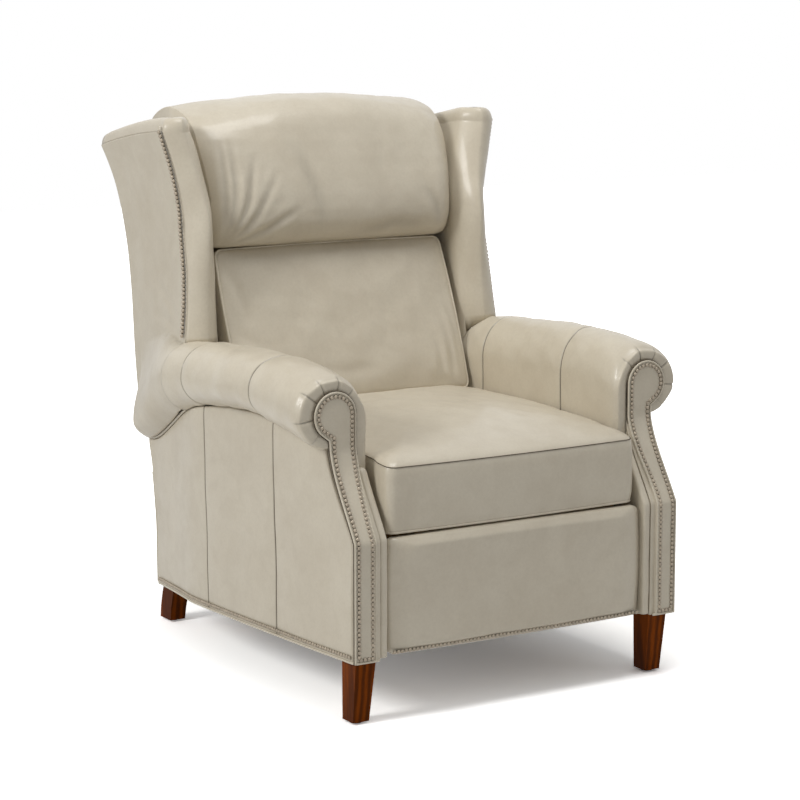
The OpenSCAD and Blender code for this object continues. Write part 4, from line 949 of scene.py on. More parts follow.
class WingOperator(bpy.types.Operator):
    """Builds the wings: padded front and inside, and the outside leather that the arm roll flows into"""

    bl_idname = "recliner.wings"
    bl_label = "Wings"

    def execute(self, context):
        width = 330  # of a wing, for its creases
        folds = [([(0.12 * width, 655), (0.3 * width, 700), (0.55 * width, 730)], 9, 1.3),
                 ([(0.1 * width, 640), (0.35 * width, 662), (0.6 * width, 668)], 8, 1.2)]
        share = np.unique([*np.linspace(0, 0.8, 36), *np.linspace(0.8, 1, 24), 0.004, 0.01, 0.018, 0.996])
        t = np.unique([*np.linspace(0, 1, 110), 0.002, 0.005, 0.009, 0.991, 0.995, 0.998])
        s, rise = np.meshgrid(share, t, indexing="ij")
        for side, sign in SIDES.items():
            low = np.full(s.shape, 480.0)
            for _ in range(5):
                low = under_z(wing_y(s, low)) + 1
            z = mix(low, WING_TOP, rise)
            y = wing_y(s, z)
            grid = points_of(wing_roll_x(y, z), y, z - wing_fall_at(s, z))
            lift = 1.2 * ripple(grid, size=190, seed=51 + sign) * np.sin(np.pi * s) ** 0.5
            creased(s * width, z, folds, lift)
            grid[..., 0] += lift
            grid[..., 0] *= sign
            finished(panel_object(f"{side}_wing_outside", grid[::sign], finish("side_leather"),
                                  thickness=5.5, round_edge=2.5),
                     "chair_frame", "side_leather", f"{side}_wing_panel", f"{side}_rear_roll", soft=0.9)
            edge = np.linspace(633.5, 864, 70)
            path = points_of(sign * (side_x(edge) - 1.2), edge, under_z(edge) + 2.2)
            cord(f"{side}_roll_seam", [(path, False)], 3.1, "side_leather", "chair_frame", "side_leather", sides=10)
            finished(self.padding(side, sign), "chair_frame", "seat_leather", f"{side}_wing_pad", soft=0.85)
            levels = np.linspace(640, WING_TOP, 140)
            depths = wing_front_y(levels) + wing_nail_inset(levels)
            path = points_of(sign * (wing_roll_x(depths, levels) + 5.2), depths - 0.5, levels)
            nailed(f"{side}_wing_nails", path, lambda at: [(sign * 0.8, -0.6, 0)] * len(at), "chair_frame")
        return {"FINISHED"}

    def padding(self, side, sign):
        """The wing's padding: its foot behind the arm, its sections above and its domed top."""
        feet, arm_end = 26, 631.0
        levels = [*np.linspace(631.2, 1030, 90), 1033, WING_TOP]
        rings = [self.foot(z) for z in np.linspace(486, 630.9, feet)] + [self.ring(z) for z in levels]
        seat = rings[feet]
        over = seat[:, 1] < 632.6
        across = np.clip((seat[:, 0] - ROLL_X) / (roll_x(arm_end) - ROLL_X), 0, 1)
        within = np.clip((ROLL_X - seat[:, 0]) / 72.0, 0, 1)
        fall = np.where(seat[:, 0] > ROLL_X, OUTER_FALL * (1 - np.sqrt(1 - across**2)),
                        INNER_FALL * (1 - np.sqrt(1 - within**2)))
        seat[over, 2] = np.minimum((crest_z(arm_end) - fall)[over] + 1.2, 631.2)
        outer = rings[-1].copy()
        lid_mid = outer[:, :2].mean(axis=0)
        count = self.back_steps
        outer[:count, 0] = wing_x(np.linspace(0, 1, count), WING_TOP) - 1
        for share in (0, 0.06, 0.12, 0.2, 0.3, 0.4, 0.5, 0.6, 0.7, 0.8, 0.9, 1):
            turned = math.radians(90 * share)
            ring = outer.copy()
            inward = 0.62 * (1 - math.cos(turned) ** 0.6)
            ring[:, 0] = mix(outer[:, 0], lid_mid[0], inward)
            ring[:, 1] = mix(outer[:, 1], lid_mid[1], inward * 0.35)
            ring[:, 2] = outer[:, 2] + 0.6 + 26.5 * math.sin(turned)
            rings.append(ring)
        rings = np.array(rings)
        out = sideways(rings, rings.mean(axis=1, keepdims=True))
        lift = 1.6 * ripple(rings, size=150, seed=71 + sign) * np.clip((rings[..., 2] - 634) / 12, 0, 1)
        shown = np.ones(rings.shape[1])
        shown[: count + 2] = 0
        rings = rings + out * (lift * shown)[..., None]
        rings[..., 0] *= sign
        return rings_object(f"{side}_wing_pad_soft", rings, finish("seat_leather"))

    back_steps = 14  # points of a section along the wing's board

    def foot(self, z):
        """Section of the wing's inside below its front roll, behind the arm."""
        ring = self.ring(z)
        front = ring[:, 1] < 632.9
        ring[front, 0] = np.minimum(ring[front, 0], ring[0, 0])
        ring[front, 1] = 632.9
        if z < 562:  # beside the back's foot
            ring[:, 0] = np.minimum(ring[:, 0], 304.6)
            ring[:, 1] = np.minimum(ring[:, 1], 880.0)
        return ring

    def ring(self, high):
        """Section of the wing's padding at a height, from its front outer corner round the back."""
        shares = np.linspace(0, 1, self.back_steps)
        foot = np.clip((high - ROLL_Z) / 160, 0, 1)
        board = mix(306.0, wing_board_x(shares, high) - 16, foot)
        step = np.where(shares == 1, -4.0, 0.0) - np.where(shares == 0, 0.3, 0)
        board_line = points_of(board - 0.3, wing_y(shares, high) + step, high - wing_fall_at(shares, high))
        rear_x = mix(306.0, wing_board_x(1, high) - 16, foot) - 14
        rear = np.array([[rear_x, wing_y(1, high) - 8, high - wing_fall_at(1, high)]])
        inside = wing_inside_x(high)
        front_x, front_y = wing_x(0, high), wing_y(0, high)
        inner = np.array([[inside, front_y + 34, high - wing_fall_at(0.12, high)]])
        reach = np.linspace(0, 1, 14)[1:-1, None]
        inner_face = rear + (inner - rear) * reach
        t = np.linspace(0, 1, 34)
        swell = wing_swell(high)
        turn = np.pi * np.minimum(mix(0.06 * (1 - swell), 1, t), 1)
        roll = (25 + 24 * swell) * np.abs(np.sin(turn)) ** 0.7
        curve = points_of(mix(front_x, inside, t), front_y - roll + np.maximum(t - 0.5, 0) * 30, high)
        last = np.array([[front_x - 1, front_y - 0.3, high]])
        return np.concatenate([board_line, rear, inner_face, inner, curve[::-1], last])


def scroll_arc(radius, end, count):
    """Places round the scroll, from its inner side over its top to an angle."""
    turns = np.radians(np.linspace(0, end, count))
    return [(ROLL_X - radius * math.cos(a), ROLL_Z + radius * math.sin(a)) for a in turns]


def facing_outline(count):
    """Outline of the nailed front panel: up its inner edge, round the scroll and down its outer edge."""
    up = [(facing_inner_x(z), z) for z in np.linspace(LEG_TOP, 556, 90)]
    over = scroll_arc(SCROLL_RADIUS, 226, 70)
    down = [(361.5, 516), (360.3, 506), (HALF_WIDTH, 496)] + [(HALF_WIDTH, z) for z in np.linspace(486, LEG_TOP, 70)]
    return resampled(up + over + down, count)


class FacingOperator(bpy.types.Operator):
    """Builds the nailed front panels with their scrolls and welts, and the padded strips beside them"""

    bl_idname = "recliner.facings"
    bl_label = "Front panels"

    def execute(self, context):
        welt = sizes()[2]
        z = np.unique([*np.linspace(122, 516, 80), 122.5, 123.5, 125, 127.5,
                       *(ROLL_Z + 41.9 * np.sin(np.radians(np.linspace(-62, 88, 46))))])
        half = np.sqrt(np.maximum(SCROLL_RADIUS**2 - (z - ROLL_Z) ** 2, 0))
        left = np.where(z > ROLL_Z, ROLL_X - half, 308 - 2.8 * np.clip((505 - z) / 20, 0, 1))
        right = np.where(z > 519.5, ROLL_X + half, HALF_WIDTH)
        neck = HALF_WIDTH + 10 * np.clip((z - 505) / 18, 0, 1) ** 3
        right = np.where((z > 505) & (z <= 522.9), np.maximum(right, neck), right)
        u = np.array([0, 0.012, 0.03, 0.06, 0.1, 0.13, 0.155, 0.175, 0.2, 0.24, 0.3, 0.36, 0.5, 0.64, 0.75, 0.84,
                      0.9, 0.94, 0.97, 0.988, 1])
        x = left[:, None] + (right - left)[:, None] * u[None, :]
        zz = np.broadcast_to(z[:, None], x.shape)
        edge = np.minimum(np.minimum(x - left[:, None], right[:, None] - x), zz - LEG_TOP)
        in_scroll = (zz > ROLL_Z) | ((x > ROLL_X) & (zz > 530))
        disc = np.where(in_scroll, SCROLL_RADIUS - np.hypot(x - ROLL_X, zz - ROLL_Z), 99)
        edge = np.minimum(edge, np.maximum(disc, 0))
        outline = facing_outline(260)
        along = np.gradient(outline, axis=0)
        along /= np.linalg.norm(along, axis=1, keepdims=True)
        beyond = outline + points_of(-along[:, 1], along[:, 0]) * 2.7
        seam_start = int(np.argmax(outline[:, 1] > 482))
        nail_line = self.nail_line(7.4)
        crown = 1.6 * (1 - np.exp(-((edge / 9.0) ** 2)))
        y = facing_y(zz) + 2.6 - crown + rounded_fall(np.clip(edge, 0, 4), 4.0)
        beside = np.clip((facing_inner_x(zz) - x) / 1.2, 0, 1) * (zz < 504)
        y = mix(y, facing_y(zz) + 6.4, beside)
        for side, sign in SIDES.items():
            front = points_of(x, y, zz)
            front[..., 1] += 0.35 * ripple(front, size=50, seed=91 + sign, octaves=2)
            back = points_of(x, facing_y(zz) + 11.8, zz)
            rings = np.concatenate([front, back[:, ::-1]], axis=1)
            rings[..., 0] *= sign
            finished(rings_object(f"{side}_facing", rings, finish("seat_leather")),
                     "chair_frame", "seat_leather", f"{side}_front_panel", soft=0.9)
            path = points_of(sign * outline[:, 0], facing_y(outline[:, 1]) + 2.2, outline[:, 1])
            cord(f"{side}_facing_welt", [(path, False)], welt * 0.85, "welt_leather", "chair_frame", "seat_leather")
            path = points_of(sign * beyond[:, 0], facing_y(outline[:, 1]) + 3.6, beyond[:, 1])
            cord(f"{side}_facing_seam", [(path[seam_start:], False)], 0.9,
                 "seam_thread", "chair_frame", "seat_leather", sides=6)
            path = points_of(sign * nail_line[:, 0], facing_y(nail_line[:, 1]) + 1.0, nail_line[:, 1])
            nailed(f"{side}_facing_nails", path,
                   lambda at: [(0, -1, v) for v in (facing_y(at[:, 2] + 2) - facing_y(at[:, 2] - 2)) / 4],
                   "chair_frame", closed=True)
            finished(self.strip(side, sign), "chair_frame", "seat_leather", f"{side}_front_wrap", soft=0.9)
        return {"FINISHED"}

    def nail_line(self, inset):
        """Closed line of the nails, inside the panel's outline."""
        foot, outer = LEG_TOP + inset, HALF_WIDTH - inset
        line = [(facing_inner_x(v) + inset, v) for v in np.linspace(foot, 556, 80)]
        line += scroll_arc(SCROLL_RADIUS - inset, 236, 60)
        line += [(outer, v) for v in np.linspace(520, foot, 70)]
        line += [(v, foot) for v in np.linspace(outer, 317 + inset, 8)]
        return resampled(line, 420, closed=True)

    def strip(self, side, sign):
        """Soft roll beside the leg rest."""
        foot, middle, half = 123.2, 296.4, 8.3
        rings = []
        for high in [foot, 124, 126, *np.linspace(129, 452, 80), 455, 458, 460, 461]:
            front = facing_y(high) + 6.2
            rear = max(np.interp(high, [298, SEAT_FOOT], [54.0, 95.5]), front + 14)
            close = 1 - rounded_fall(min(high - foot, 3.0), 3.0) / 6 - rounded_fall(min(461.5 - high, 9.0), 9.0) / 11
            ring = []
            for a in np.radians(np.linspace(180, 360, 25)):
                ring.append((middle + half * math.copysign(abs(math.cos(a)) ** 0.62, math.cos(a)) * close,
                             front + 9.6 - 9.6 * close * abs(math.sin(a)) ** 0.75, high))
            ring += [(304.7, mix(front + 10, rear, t), high) for t in (0.3, 0.6, 1)]
            ring += [(288.1, mix(front + 10, rear, t), high) for t in (1, 0.6, 0.3)]
            rings.append(ring)
        rings = np.array(rings, float)
        near_facing = rings[..., 1] < 60 + facing_y(rings[..., 2])
        rings[..., 1] += 0.5 * ripple(rings, size=60, seed=95 + sign, octaves=2) * near_facing
        rings[..., 0] *= sign
        return rings_object(f"{side}_strip", rings, finish("seat_leather"))


def cushion_outline(width, length, corner, steps=10, edge=26):
    """Outline of a cushion with rounded corners, its sides bowing out a little."""
    bow_x, bow_y = width * 0.008, length * 0.008
    corners = ((1, 1), (-1, 1), (-1, -1), (1, -1))

    def place(index, degrees):
        (sx, sy), a = corners[index % 4], math.radians(degrees)
        return np.array([(width / 2 - bow_x - corner) * sx + corner * math.cos(a),
                         (length / 2 - bow_y - corner) * sy + corner * math.sin(a)])

    out = []
    for index, (sx, sy) in enumerate(corners):
        out += [place(index, 90 * index + 90 * k / steps) for k in range(steps + 1)]
        first, last = out[-1], place(index + 1, 90 * (index + 1) % 360)
        bow = np.array([bow_x * sx, 0] if index % 2 else [0, bow_y * sy])
        out += [mix(first, last, t) + bow * (4 * t * (1 - t)) for t in (k / edge for k in range(1, edge))]
    return np.array(out)


def cushion_rings(outline, levels):
    """Rings of a cushion from (share of the outline, height) levels."""
    return np.array([[(*(p * share), high) for p in outline] for share, high in levels])


def domed(levels, share, power, high, rise, fullness):
    """Adds the levels of a cushion's puffed top, from its edge to its middle."""
    for t in np.linspace(0.03, 1, 40):
        levels.append((max(share * (1 - t) ** power, 0.01), high + rise * (1 - (1 - t) ** 1.7) ** fullness))
    return levels


class SeatOperator(bpy.types.Operator):
    """Builds the boxed seat cushion"""

    bl_idname = "recliner.seat"
    bl_label = "Seat cushion"

    def execute(self, context):
        outline = cushion_outline(width=550, length=SEAT_LENGTH, corner=17)
        middle = np.array([0, SEAT_FRONT + SEAT_LENGTH / 2, 0])
        levels = [(0.05, 0), (0.5, 0), (0.9, 0), (0.965, 0.2), (0.982, 1.5), (0.992, 4)]
        levels += list(zip([0.996] + [1.0] * 8 + [0.998, 0.994], np.linspace(8, 110, 11)))
        levels = domed(levels + [(0.99, 113), (0.985, 115.5)],
                       share=0.985, power=0.72, high=115, rise=32, fullness=0.62)
        rings = self.fronted(cushion_rings(outline, levels) + middle + [0, 0, SEAT_FOOT])
        rings[..., 2] += 1.6 * (ripple(rings, size=190, seed=3, octaves=4) * np.clip((rings[..., 2] - 465) / 20, 0, 1))
        side = np.clip(1 - np.abs(rings[..., 2] - 412) / 55, 0, 1)
        out = sideways(rings, middle)
        rings += out * (side * (0.9 + 1.4 * ripple(rings, size=110, seed=8)))[..., None] * 0.8
        finished(rings_object("seat_cushion_soft", rings, finish("seat_leather")),
                 "seat_carriage", "seat_leather", "seat_cushion", soft=0.8)
        for name, share, high, radius, look in (("seat_welt", 0.99, 3.0, sizes()[2], "welt_leather"),
                                                ("seat_seam", 0.992, 113.5, 0.85, "seam_thread")):
            line = np.pad(outline * share, ((0, 0), (0, 1))) + middle + [0, 0, SEAT_FOOT + high]
            cord(name, [(resampled(self.fronted(line), 260, closed=True), True)], radius,
                 look, "seat_carriage", "seat_leather")
        return {"FINISHED"}

    def fronted(self, points):
        """Widens the cushion in front of the arms and hangs its front edge over the seat frame."""
        out = points.copy()
        wide = np.clip((84 - points[..., 1]) / 14, 0, 1)
        out[..., 0] *= 1 + 7.0 / 275 * wide**2 * (3 - 2 * wide)
        hang = np.clip((86 - points[..., 1]) / 26, 0, 1) * np.clip(1 - (points[..., 2] - SEAT_FOOT) / 70, 0, 1)
        puff = np.interp(points[..., 1], [SEAT_FRONT, 60, 120, 190, 280, 500, 560, 600, 640],
                         [0, 5, 11, 16.5, 21, 21, 15, 9, 4])
        out[..., 2] += puff * np.clip((points[..., 2] - 400) / 64, 0, 1) - 8.6 * hang
        return out


class BackOperator(bpy.types.Operator):
    """Builds the lower back cushion and the head pillow"""

    bl_idname = "recliner.back"
    bl_label = "Back cushion and head pillow"

    def execute(self, context):
        self.cushion()
        self.pillow()
        return {"FINISHED"}

    def cushion(self):
        length = 303.0 / math.cos(BACK_LEAN)
        outline = cushion_outline(width=544, length=length, corner=15)
        levels = [(0.05, 0), (0.5, 0), (0.93, 0), (0.965, 1.2), (0.99, 4), (1, 9)]
        levels += [(1, h) for h in np.linspace(16, 60, 8)]
        levels = domed(levels + [(0.998, 64), (0.99, 67)], share=0.99, power=0.75, high=67, rise=17, fullness=0.6)
        rings = cushion_rings(outline, levels)
        lift = 1.8 * ripple(rings, size=150, seed=21, octaves=4)
        folds = [([(-262, 300), (-235, 240), (-222, 170)], 9, 2.6), ([(-255, 150), (-215, 120), (-170, 115)], 8, 2.0),
                 ([(230, 20), (236, 90), (228, 150)], 8, 2.8), ([(252, 40), (256, 110), (250, 170)], 7, 2.4),
                 ([(205, 10), (208, 60), (200, 110)], 9, 2.0), ([(-120, 60), (-40, 48), (60, 58)], 12, 1.4),
                 ([(-250, 60), (-215, 55), (-160, 70)], 9, 1.8)]
        creased(rings[..., 0], rings[..., 1] + length / 2, folds, lift)
        rings[..., 2] += lift * np.clip((rings[..., 2] - 62) / 12, 0, 1)
        finished(rings_object("back_cushion_soft", self.leaned(rings, length), finish("seat_leather")),
                 "back", "seat_leather", "lower_back_cushion", soft=0.75)
        edge = np.concatenate([outline * 0.993, np.full((len(outline), 1), 66.0)], axis=1)
        cord("back_welt", [(self.leaned(resampled(edge, 240, closed=True), length), True)], sizes()[2],
             "welt_leather", "back", "seat_leather")

    def leaned(self, points, length):
        """Stands a cushion drawn lying flat up at the back's lean, the corners of its foot settled on the seat."""
        out, sin, cos = points.copy(), math.sin(BACK_LEAN), math.cos(BACK_LEAN)
        low = np.clip(1 - (points[..., 1] + length / 2) / 70, 0, 1)
        sunk = points[..., 1] - 12 * (np.abs(points[..., 0]) / 272) ** 4 * low**1.5
        along, thick = sunk + length / 2, points[..., 2]
        out[..., 1] = BACK_Y + CUSHION_DEPTH * cos + along * sin - thick * cos
        out[..., 2] = BACK_FOOT - CUSHION_DEPTH * sin + along * cos + thick * sin
        return out

    def pillow(self):
        """The head pillow: one section swept across the back, lower toward its rounded ends."""
        rise = 1105 - 806 - 0.3
        shares = [(0.17, 0.0), (0.09, 0.03), (0.03, 0.10), (0, 0.2), (0.01, 0.35), (0.06, 0.52), (0.13, 0.70),
                  (0.21, 0.85), (0.31, 0.93), (0.43, 0.962), (0.58, 0.97), (0.73, 0.952), (0.87, 0.89), (0.985, 0.77)]
        start, depth = 642, 300
        front = smooth_line([(start + depth * p, 806.3 + rise * q) for p, q in shares], 110)
        rest_y = BACK_Y + CUSHION_DEPTH / math.cos(BACK_LEAN)
        rear = [(front[-1, 0], 1012.0), (870, 1010.5)]
        rear += [(rest_y + 0.4 * (z - BACK_FOOT), z) for z in (REAR_TOP_Z, 960, 900, 850, 808)]
        section = np.concatenate([front, rear])
        x_shares = np.sin(np.radians(np.linspace(-90, 90, 91)))
        x_shares = np.sign(x_shares) * np.abs(x_shares) ** 0.8
        rings = []
        mid_y = start + depth * 0.42
        for share in x_shares:
            inset = 0.27 * max(abs(share) - 0.82, 0) ** 2.4 / 0.18**2.4
            drop = mix(38.0, 19.0, np.clip((section[:, 0] - 735) / 100, 0, 1)) * share**2
            high = np.clip((section[:, 1] - 940) / 120, 0, 1)
            y = np.where(section[:, 0] < mid_y, mix(section[:, 0], mid_y, inset), section[:, 0])
            z = section[:, 1] - high * drop - 5.5 * (1 - high) * (np.arange(len(section)) < 60)
            wide = 281 + 9 * np.clip((z - 900) / 100, 0, 1)
            rings.append(points_of(share * wide, y, z))
        rings = np.array(rings)
        run = np.concatenate([[0], np.cumsum(np.linalg.norm(np.diff(section, axis=0), axis=1))])
        normal = normals_of(rings)
        if normal[45, 40, 1] > 0:
            normal = -normal
        lift = 1.5 * ripple(rings, size=170, seed=41, octaves=4)
        folds = [([(-262, 30), (-240, 130), (-232, 250)], 7, 4.0), ([(-260, 26), (-218, 112), (-186, 214)], 6.5, 4.4),
                 ([(-258, 22), (-196, 92), (-140, 176)], 6.5, 3.8), ([(-256, 16), (-180, 56), (-96, 104)], 7, 3.2),
                 ([(-264, 60), (-258, 160), (-254, 260)], 6, 3.0), ([(-90, 230), (-60, 150), (-40, 60)], 13, 1.8),
                 ([(238, 60), (226, 100), (205, 130)], 8, 2.4), ([(40, 40), (130, 60), (200, 50)], 12, 1.4)]
        # painted shade in the pillow's crease valleys
        shade = creased(rings[..., 0], np.broadcast_to(run, lift.shape), folds, lift) * 0.22
        fade = np.linspace(0, 1, 6)
        shown = np.concatenate([fade, np.ones(len(front) - 12), np.linspace(1, 0, 6), np.zeros(len(rear))])
        ends = np.clip((1 - np.abs(x_shares)) * 12, 0, 1)[:, None, None]
        rings = rings + normal * (lift * shown[None, :])[..., None] * ends
        finished(rings_object("head_pillow_soft", rings, finish("seat_leather"), shade),
                 "back", "seat_leather", "head_pillow", soft=0.7)


class RestOperator(bpy.types.Operator):
    """Builds the padded leg rest with its nail row"""

    bl_idname = "recliner.leg_rest"
    bl_label = "Leg rest"

    def execute(self, context):
        outline = cushion_outline(width=572, length=219, corner=15)
        levels = [(0.05, 0), (0.5, 0), (0.95, 0), (0.975, 0.4), (0.99, 2), (1, 5), (1, 12), (1, 18)]
        for t in np.linspace(0.04, 1, 34):
            fall = rounded_fall(min(t * 60, 7.0), 7.0)
            levels.append((max(1 - t * 0.99, 0.01), min(18 + (12 - fall * 0.9) * min(1, 0.25 + t * 5), 30)))
        rings = cushion_rings(outline, levels)
        lift = 1.2 * ripple(rings, size=150, seed=61)
        rings[..., 2] += lift * np.clip((rings[..., 2] - 20) / 8, 0, 1)
        out = points_of(rings[..., 0], 38.0 - rings[..., 2] * 1.1, rings[..., 1] + 231.5)
        finished(rings_object("rest_pad_soft", out, finish("seat_leather")),
                 "leg_rest", "seat_leather", "rest_pad", soft=0.85)
        path = np.array([(x, 8.2, 131.0) for x in np.linspace(-274, 274, 60)])
        nailed("rest_nails", path, lambda at: [(0, -1, -0.25)] * len(at), "leg_rest")
        return {"FINISHED"}


class RearOperator(bpy.types.Operator):
    """Builds the leather on the back of the chair"""

    bl_idname = "recliner.rear"
    bl_label = "Rear panels"

    def execute(self, context):
        low, high, flat = 101, 330, 262  # the panel bends forward outside its flat middle
        half = side_x(SIDE_LENGTH) - 2.5
        x = half * np.sin(np.radians(np.linspace(-90, 90, 90)))
        z = np.unique([*np.linspace(low, high, 40), 101.5, 102.5, 104, 327, 328.5, 329.5])
        xx, zz = np.meshgrid(x, z, indexing="ij")
        bend = (np.maximum(np.abs(xx) - flat, 0) / (half - flat)) ** 2
        grid = points_of(xx, REAR_Y - (REAR_Y - rear_edge_y(zz) - 7) * bend, zz)
        grid[..., 1] += 1.0 * ripple(grid, size=200, seed=81) * np.sin(np.pi * (zz - low) / (high - low))
        finished(panel_object("rear_panel_soft", grid[::-1], finish("side_leather"), thickness=7.0, round_edge=2.5),
                 "chair_frame", "side_leather", "lower_rear_panel", soft=0.9)
        self.outside()
        return {"FINISHED"}

    def outside(self):
        """The back's outside with its round tail behind the lower panel, and the cover of its top."""
        radius = REAR_Y - 8 - TAIL_Y - 5.0
        low, top, near = 300.0, TAIL_Z + radius / 2, np.array([0.6, 1.6, 3])
        half = float(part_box("outside_back_panel")[1][0]) / MM
        z = np.unique([*np.linspace(low, REAR_TOP_Z, 120), *(low + near), *(REAR_TOP_Z - near)])
        x = np.unique([*np.linspace(-half, half, 70), *(near - half), *(half - near)])
        xx, zz = np.meshgrid(x, z, indexing="ij")
        bow = 6 * (1 - (xx / half) ** 2)
        tail = TAIL_Y + np.sqrt(radius**2 - (np.minimum(zz, top) - TAIL_Z) ** 2)
        t = np.clip((zz - top) / 80, 0, 1)
        blend = t**2 * (3 - 2 * t)
        y = mix(tail, rear_edge_y(zz) - 0.05 * np.maximum(zz - WING_BEND, 0), blend)
        grid = points_of(xx, y + bow * blend, zz)
        grid[..., 1] += 1.4 * ripple(grid, size=260, seed=82) * blend * np.clip((REAR_TOP_Z - zz) / 40, 0, 1)
        finished(panel_object("outside_back_soft", grid[::-1], finish("side_leather"), thickness=7.0, round_edge=2.5),
                 "back", "side_leather", "outside_back_panel", soft=0.9)
        xx, reach = np.meshgrid(x, np.linspace(0, 1, 14), indexing="ij")
        rim = rear_edge_y(REAR_TOP_Z) - 0.05 * (REAR_TOP_Z - WING_BEND) + bow[:, :1] - 7.6
        grid = points_of(xx, mix(864.0, rim, reach), REAR_TOP_Z - 0.8)
        finished(panel_object("back_top_cover", grid, finish("side_leather"), thickness=3.0, round_edge=1.0),
                 "back", "side_leather")


class NailOperator(bpy.types.Operator):
    """Sets the nail rows along the bottom of the sides"""

    bl_idname = "recliner.nails"
    bl_label = "Side nails"

    def execute(self, context):
        for side, sign in SIDES.items():
            y = np.linspace(18, 812, 160)
            path = points_of(sign * (side_x(y) + 1.7), y, bottom_z(y) + 11)
            nailed(f"{side}_side_nails", path, lambda at: [(sign, 0, 0)] * len(at), "chair_frame")
        return {"FINISHED"}


class HardwareOperator(bpy.types.Operator):
    """Gives the wood, steel, springs and cloth of the frame their finishes"""

    bl_idname = "recliner.hardware"
    bl_label = "Legs, frame and mechanism"

    def execute(self, context):
        slots = ("seat_leather", "side_leather", "leg_wood", "plate_steel", "link_steel", "spring_steel",
                 "deck_cloth", "glide")
        covered = ("back_frame", "rest_board", "left_wing_frame", "right_wing_frame",
                   "left_side_board", "right_side_board")  # their edges would show bare wood
        for name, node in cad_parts.items():
            for kept in node.material_slots:
                found = [slot for slot in slots if kept.material and slot in kept.material.name] + ["hardwood"]
                kept.material = finish("side_leather" if name in covered else found[0])
        return {"FINISHED"}


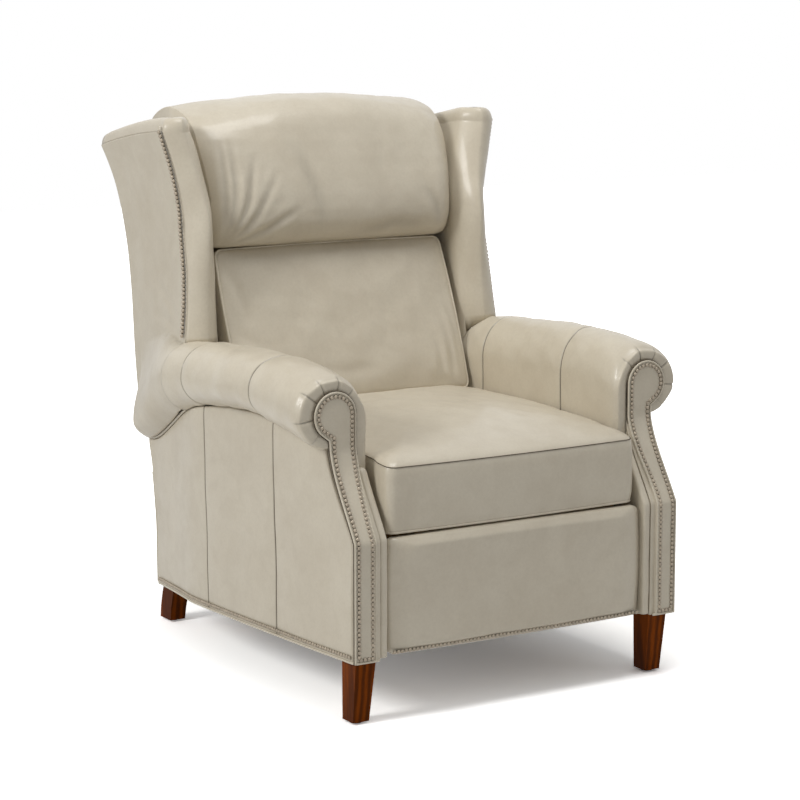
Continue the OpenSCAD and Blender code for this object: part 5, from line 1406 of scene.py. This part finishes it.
class StageOperator(bpy.types.Operator):
    """Sets up the floor, the lamps and the camera"""

    bl_idname = "recliner.stage"
    bl_label = "Studio"

    def execute(self, context):
        scene = context.scene
        self.floor()
        self.lamp("key", (-3.9, -0.45, 2.6), size=1.3, power=70, colour=(1.0, 0.995, 0.98))
        self.lamp("top", (0.1, -0.6, 3.9), size=2.0, power=57, colour=(1.0, 1.0, 1.0))
        self.lamp("fill", (2.6, -3.4, 1.5), size=1.6, power=3.2, colour=(1.0, 0.995, 0.99))
        self.sky()
        self.camera(scene)
        scene.view_settings.view_transform = "Standard"
        return {"FINISHED"}

    def floor(self):
        """Pale paper that keeps the chair's shadow, and is plain white away from it; painted light makes it glow
        brighter toward the left, lightening the shadow there.
        """
        made = Finish("floor_paper", "ShaderNodeAddShader")
        seen, glossy, through = made.ray_kinds()
        plain = made.blend(made.noise(3.0), (0.80, 0.80, 0.80, 1), (0.82, 0.82, 0.82, 1))
        paper = made.node("ShaderNodeBsdfDiffuse", inputs={"Color": made.blend(seen, plain, (1.95, 1.95, 1.95, 1))})
        flat = made.node("ShaderNodeVectorMath", {"operation": "LENGTH"}, {0: made.place()}, output="Value")
        away = made.ramp(flat, 0.6, 1.9)
        across = made.node("ShaderNodeSeparateXYZ", inputs={"Vector": made.place()}, output="X")
        painted_light_left = made.ramp(across, 0.25, -0.5)  # painted light: the floor glows brighter toward the left, which lightens the chair's shadow there
        glow = made.node("ShaderNodeEmission", inputs={
            "Color": (1, 1, 1, 1),
            "Strength": seen * (away * 0.95 + painted_light_left * 0.2 + 0.085) + (glossy + through) * 0.4})
        made.feed(made.shader.inputs[0], paper)
        made.feed(made.shader.inputs[1], glow)
        mesh = bpy.data.meshes.new("floor")
        mesh.from_pydata([(-9, -9, 0), (9, -9, 0), (9, 9, 0), (-9, 9, 0)], [], [(0, 1, 2, 3)])
        mesh.materials.append(made.material)
        floor = bpy.data.objects.new("floor", mesh)
        floor.location.z = -0.0005
        bpy.context.scene.collection.objects.link(floor)

    def lamp(self, name, place, size, power, colour):
        """A round lamp, in metres and watts, that points at the chair's middle."""
        data = bpy.data.lights.new(name, "AREA")
        data.shape, data.size, data.energy, data.color = "DISK", size, power, colour
        lamp = bpy.data.objects.new(name, data)
        lamp.location = place
        lamp.rotation_mode = "QUATERNION"
        lamp.rotation_quaternion = (Vector(place) - Vector((0, 0, 0.5))).to_track_quat("Z", "Y")
        bpy.context.scene.collection.objects.link(lamp)

    def sky(self):
        """A white sky to look at, which lights the chair only dimly."""
        made = Finish("studio", "ShaderNodeMixShader", "World")
        seen, glossy, through = made.ray_kinds()
        reflected = made.node("ShaderNodeMath", {"operation": "MAXIMUM"}, {0: seen, 1: glossy})
        white = made.node("ShaderNodeMath", {"operation": "MAXIMUM"}, {0: reflected, 1: through})
        parts = [white] + [made.node("ShaderNodeBackground", inputs={"Color": (1, 1, 1, 1), "Strength": strength})
                           for strength in (0.32, 1.0)]
        for socket, part in zip(made.shader.inputs, parts):
            made.feed(socket, part)
        bpy.context.scene.world = made.material

    def camera(self, scene):
        """The camera that took the photo, as it was fitted to it."""
        data = bpy.data.cameras.new("photo_camera")
        data.lens, data.sensor_width = 115.44, 36.0
        data.clip_end = 60
        camera = bpy.data.objects.new("photo_camera", data)
        aim = Vector((-0.26758, -MIDDLE * MM, 0.59405))
        turn, lift, distance = math.radians(-32.29), math.radians(9.55), 4.55572
        back = Vector((math.sin(turn) * math.cos(lift), -math.cos(turn) * math.cos(lift), math.sin(lift)))
        camera.location = aim + back * distance
        camera.rotation_mode = "QUATERNION"
        camera.rotation_quaternion = back.to_track_quat("Z", "Y")
        scene.collection.objects.link(camera)
        scene.camera = camera


BUILDERS = (HardwareOperator, ArmOperator, SideOperator, WingOperator, FacingOperator, SeatOperator,
            BackOperator, RestOperator, RearOperator, NailOperator, StageOperator)


class ReclinerPanel(bpy.types.Panel):
    """Lists the chair's sizes, colours and pieces"""

    bl_idname = "VIEW3D_PT_recliner"
    bl_label = "Wingback recliner"
    bl_space_type = "VIEW_3D"
    bl_region_type = "UI"
    bl_category = "Recliner"

    def draw(self, context):
        for group in (context.scene.chair_sizes, context.scene.chair_colours):
            for name in group.__annotations__:
                self.layout.prop(group, name)
        for builder in BUILDERS:
            self.layout.operator(builder.bl_idname)


CLASSES = (ChairColours, ChairSizes, *BUILDERS, ReclinerPanel)


def register():
    for made in CLASSES:
        bpy.utils.register_class(made)
    bpy.types.Scene.chair_colours = bpy.props.PointerProperty(type=ChairColours)
    bpy.types.Scene.chair_sizes = bpy.props.PointerProperty(type=ChairSizes)


def unregister():
    del bpy.types.Scene.chair_sizes
    del bpy.types.Scene.chair_colours
    for made in reversed(CLASSES):
        bpy.utils.unregister_class(made)


def main():
    register()
    for builder in BUILDERS:
        group, name = builder.bl_idname.split(".")
        getattr(getattr(bpy.ops, group), name)()


if __name__ == "__main__":
    main()
